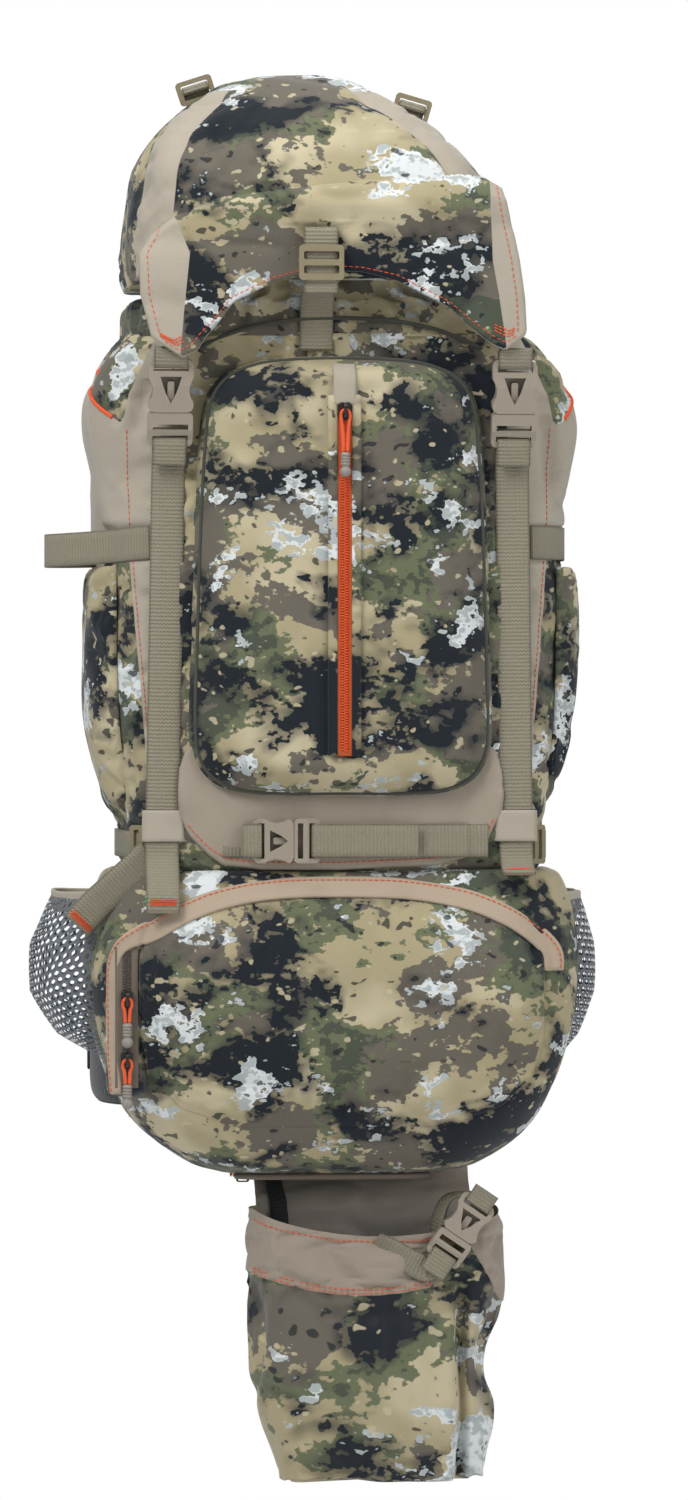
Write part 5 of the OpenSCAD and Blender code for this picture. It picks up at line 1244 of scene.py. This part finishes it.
def pillow(path, wide, width, thick, taper=None):
    """Points and faces of a foam band: a superellipse carried along a path, closed by shrunken end rings. A
    taper gives the share of its width at shares of its length."""
    length = np.linalg.norm(np.diff(np.asarray(path, float), axis=0), axis=1).sum()
    p = along(path, max(int(length / 5), 8))
    run = unit(np.gradient(p, axis=0))
    wide = unit(np.broadcast_to(np.asarray(wide, float), p.shape))
    out = np.cross(run, wide)
    a = np.arange(32) * 2 * np.pi / 32
    across = np.sign(np.cos(a)) * np.abs(np.cos(a)) ** 0.35 * width / 2
    lift = np.sign(np.sin(a)) * np.abs(np.sin(a)) ** 0.7 * thick / 2
    size = np.ones(len(p)) if taper is None else np.interp(np.linspace(0, 1, len(p)), *taper)
    reach = (across[None] * size[:, None])[..., None]
    ring = p[:, None] + wide[:, None] * reach + out[:, None] * lift[:, None]
    caps = [p[k] + (ring[k] - p[k]) * 0.86 + s * run[k] * 3 for k, s in ((0, -1), (-1, 1))]
    ring = np.concatenate([caps[0][None], ring, caps[1][None]])
    rows, cols = ring.shape[:2]
    return ring.reshape(-1, 3), quads(rows, cols, True) + [list(range(cols))[::-1],
                                                            list(range((rows - 1) * cols, rows * cols))]


def pad(name, shape, body, nodes):
    """A foam piece that rides with a body and stands for CAD nodes."""
    made = piece(name, *shape, black_pad)
    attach(made, body)
    if nodes:
        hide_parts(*nodes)


PANEL_HALF, PANEL_TOP, PANEL_FOOT, PANEL_CORNER = 142, 7.1, -582.9, 36
panel_x = np.linspace(-PANEL_HALF, PANEL_HALF, 120)
panel_z = np.linspace(PANEL_FOOT, PANEL_TOP, 220)[:, None]
to_end = np.minimum(PANEL_TOP - panel_z, panel_z - PANEL_FOOT)
inset = np.maximum(PANEL_CORNER - to_end, 0)
narrow = PANEL_HALF - (PANEL_CORNER - np.sqrt(np.maximum(PANEL_CORNER ** 2 - inset ** 2, 0)))
px = panel_x[None] * narrow / PANEL_HALF
# The channels have level floors and steep sides.
groove = np.maximum.reduce([np.exp(-((np.abs(px) / 21) ** 6)) * (np.abs(panel_z + 288) < 198),
                            np.exp(-(((panel_z + 417.7) / 7.5) ** 4)) * np.ones_like(px),
                            np.exp(-(((panel_z + 252.5) / 7.5) ** 4)) * np.ones_like(px)])
edge_fall = np.clip(np.minimum(narrow - np.abs(px), to_end) / 9, 0, 1) ** 0.5
grid = spread(px, 12 + 12 * edge_fall - 8 * groove * edge_fall, panel_z)[:, ::-1]
grid = grid + normals(grid) * (0.5 * rumple(grid, 30, 91))[..., None]
pad("back_panel_pad", slab(grid, 9.5), "pack", ("back_panel",))
turn = np.radians(np.arange(0, 91, 10))
quarter = PANEL_CORNER * np.stack([np.sin(turn), np.cos(turn)], 1)
quarter = quarter + (PANEL_HALF + 0.5 - PANEL_CORNER, PANEL_TOP - PANEL_CORNER)
below = quarter * (1, -1) + (0, PANEL_TOP + PANEL_FOOT)
rim = np.vstack([[(0, PANEL_TOP)], quarter, below[::-1], [(0, PANEL_FOOT)]])
rim = np.vstack([rim, rim[-2::-1] * (-1, 1)])
rim_band = band([(x, 1.5, z) for x, z in rim], (0, 1, 0), 13, thick=2.0, step=4.0)
strap("back_panel_binding", [rim_band], black_web, "pack")

SHOULDER_X = 82
BELT_Z, BELT_WEB = -535.9, 38
WING_TAPER = ([0, 0.5, 1], [1, 0.98, 0.72])
shoulder = [(31.3, -86), (31.3, -62), (39.3, -46), (55.3, -40), (71.3, -48), (81.3, -70), (84.3, -104),
            (84.3, -236), (77.3, -306), (61.3, -370), (41.3, -412), (31.3, -430), (31.3, -452)]
wing_xy = [(108, 34.3), (128, 42.3), (150, 66.3), (160, 104.3), (158, 148.3), (145, 188.3)]
belt_xy = [(168.4, 120.3), (166.4, 150.9), (153.4, 190.9), (140, 216.3), (120, 235.3), (90, 237.3)]
for name, side in (("left", -1), ("right", 1)):
    route = [(side * SHOULDER_X, y, z) for y, z in shoulder]
    pad(f"shoulder_pad_{name}", pillow(route, (1, 0, 0), 62, 14), "pack",
        ("shoulder_straps",) if side < 0 else ())
    core = along(route, 120)
    ahead = unit(np.gradient(core, axis=0))
    face = core + 7.4 * np.stack([0 * ahead[:, 0], -ahead[:, 2], ahead[:, 1]], 1)
    edges = [tube(core + [edge, 0, 0], 2.4, 8) for edge in (-30.5, 30.5)]
    made = piece(f"shoulder_binding_{name}", *together(edges), black_trim)
    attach(made, "pack")
    webs = [band(face[66:116], (1, 0, 0), WEB), band(face[16:34], (1, 0, 0), WEB)]
    strap(f"shoulder_web_{name}", webs, black_web, "pack")
    wing = [(side * x, y, BELT_Z) for x, y in wing_xy]
    pad(f"hip_pad_{name}", pillow(wing, (0, 0, 1), 86, 14, WING_TAPER), f"hip_{name}",
        (f"hip_wing_{name}",))
    core = along(wing, 60)
    lift = 42 * np.interp(np.linspace(0, 1, 60), *WING_TAPER)[:, None] * (0, 0, 1)
    edges = [tube(core + lift, 2.4, 8), tube(core - lift, 2.4, 8)]
    made = piece(f"hip_binding_{name}", *together(edges), black_trim)
    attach(made, f"hip_{name}")
    belt = [(side * x, y, BELT_Z) for x, y in belt_xy]
    strap(f"hip_web_{name}", [band(belt, (0, 0, 1), BELT_WEB)], black_web, f"hip_{name}")
LUMBAR_HALF, LUMBAR_TOP, LUMBAR_FOOT = 100.7, -492.9, -578.9
lumbar_x = np.linspace(-LUMBAR_HALF, LUMBAR_HALF, 80)
lumbar_z = np.linspace(LUMBAR_FOOT, LUMBAR_TOP, 40)[:, None]
to_end = np.minimum(LUMBAR_TOP - lumbar_z, lumbar_z - LUMBAR_FOOT)
fall = np.clip(np.minimum(LUMBAR_HALF - np.abs(lumbar_x), to_end) / 12, 0, 1) ** 0.5
grid = spread(lumbar_x, 33 + 11 * fall, lumbar_z)[:, ::-1]
pad("lumbar_pad_foam", slab(grid, 8.5), "pack", ("lumbar_pad",))

# Haul loop, load lifters and chest strap: flat black webbing. The loop is sewn to the top of the panel, the
# lifters run from the panel to the shoulder straps, and the chest strap joins those in front.
HAUL_R, HAUL_Z, HAUL_FOOT = 36.8, -36, -64
CHEST_Z = -172
arch_turn = np.radians(np.arange(180, -1, -12))
haul = [(HAUL_R * math.cos(a), HANG[1], HAUL_Z + HAUL_R * math.sin(a)) for a in arch_turn]
haul = [(-HAUL_R, HANG[1], HAUL_FOOT)] + haul + [(HAUL_R, HANG[1], HAUL_FOOT)]
strap("haul_loop_web", [band(haul, (0, 1, 0), NARROW_WEB)], black_web, "pack", ("haul_loop",))
lifter = [(72.3, -37.6), (56.3, -31), (37.3, -12), (27, -7), (25.2, -4.5), (25.1, -0.9)]
lifters = [band([(s * SHOULDER_X, y, z) for y, z in lifter], (1, 0, 0), NARROW_WEB) for s in (-1, 1)]
strap("lifter_web", lifters, black_web, "pack", ("load_lifters",))
right = [(72.7, 96.1), (22, 96.1), (20.4, 97.2), (20.3, 104), (21.5, 105.1), (52.7, 105.1)]
left = [(-72.7, 96.6), (-20, 96.6), (-18.4, 97.7), (-18.3, 103.5), (-19.5, 104.6), (-52.7, 104.6)]
halves = [band([(x, y, CHEST_Z) for x, y in p], (0, 0, 1), NARROW_WEB, step=1.5) for p in (right, left)]
strap("chest_strap_web", halves, black_web, "chest", ("chest_strap",))

# Hinge roll and lid hinge strip: taupe cloth, sewn along the top of the back panel. The lid turns on the
# roll, and the strip joins its dome to it.
HINGE_ENDS = (-106, 78)
roll = spread(np.linspace(*HINGE_ENDS, 41), 2, 15)
made = piece("hinge_roll_cloth", *tube(roll, 7.4, 24), taupe_cloth)
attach(made, "pack")
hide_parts("hinge_roll")
grid = spread(np.linspace(*HINGE_ENDS[::-1], 60), -6.0, np.linspace(16, 47, 14)[:, None])
grid = grid + normals(grid) * (0.4 * rumple(grid, 20, 92))[..., None]
made = piece("lid_back_cloth", *slab(grid, 2.5), taupe_cloth)
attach(made, "lid")
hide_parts("lid_back")

# Hard pieces: the buckles, slides, sliders, rails and frame are the CAD model's own solids. They get their
# finishes here, and the moulded ones get slightly rounded edges.
moulded = finish_of("moulded_taupe", "#958B7C", 0.42, grain(0.0012), 0.0001)
khaki_moulded = finish_of("moulded_khaki", "#857A60", 0.45, grain(0.0012), 0.0001)
black_moulded = finish_of("moulded_black", "#1B1B1D", 0.4, grain(0.0012), 0.0001)
grip_rubber = finish_of("grip_rubber", "#8A857C", 0.6)
dark_metal = finish_of("dark_metal", "#4A4844", 0.35, Metallic=0.9)
bare_alloy = finish_of("bare_alloy", "#B9BCC0", 0.35, Metallic=1.0)
for finish, names in ((moulded, "lid_sockets lid_plugs front_socket front_plug boot_buckle"),
                      (khaki_moulded, "lid_slides limb_slide ladder_locks"),
                      (black_moulded, "chest_buckle chest_rails hip_plug hip_socket frame_sheet"),
                      (grip_rubber, "front_pull_grip upper_pull_grip lower_pull_grip"),
                      (dark_metal, "front_slider upper_slider lower_slider boot_slider"),
                      (bare_alloy, "frame_stays")):
    for name in names.split():
        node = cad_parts[name]
        node.data.materials.clear()
        node.data.materials.append(finish)
        if finish not in (bare_alloy, dark_metal):
            rounding = node.modifiers.new("rounding", "BEVEL")
            rounding.width, rounding.segments, rounding.limit_method = 0.0006, 2, "ANGLE"
            rounding.angle_limit = math.radians(40)
            rounding.harden_normals = True
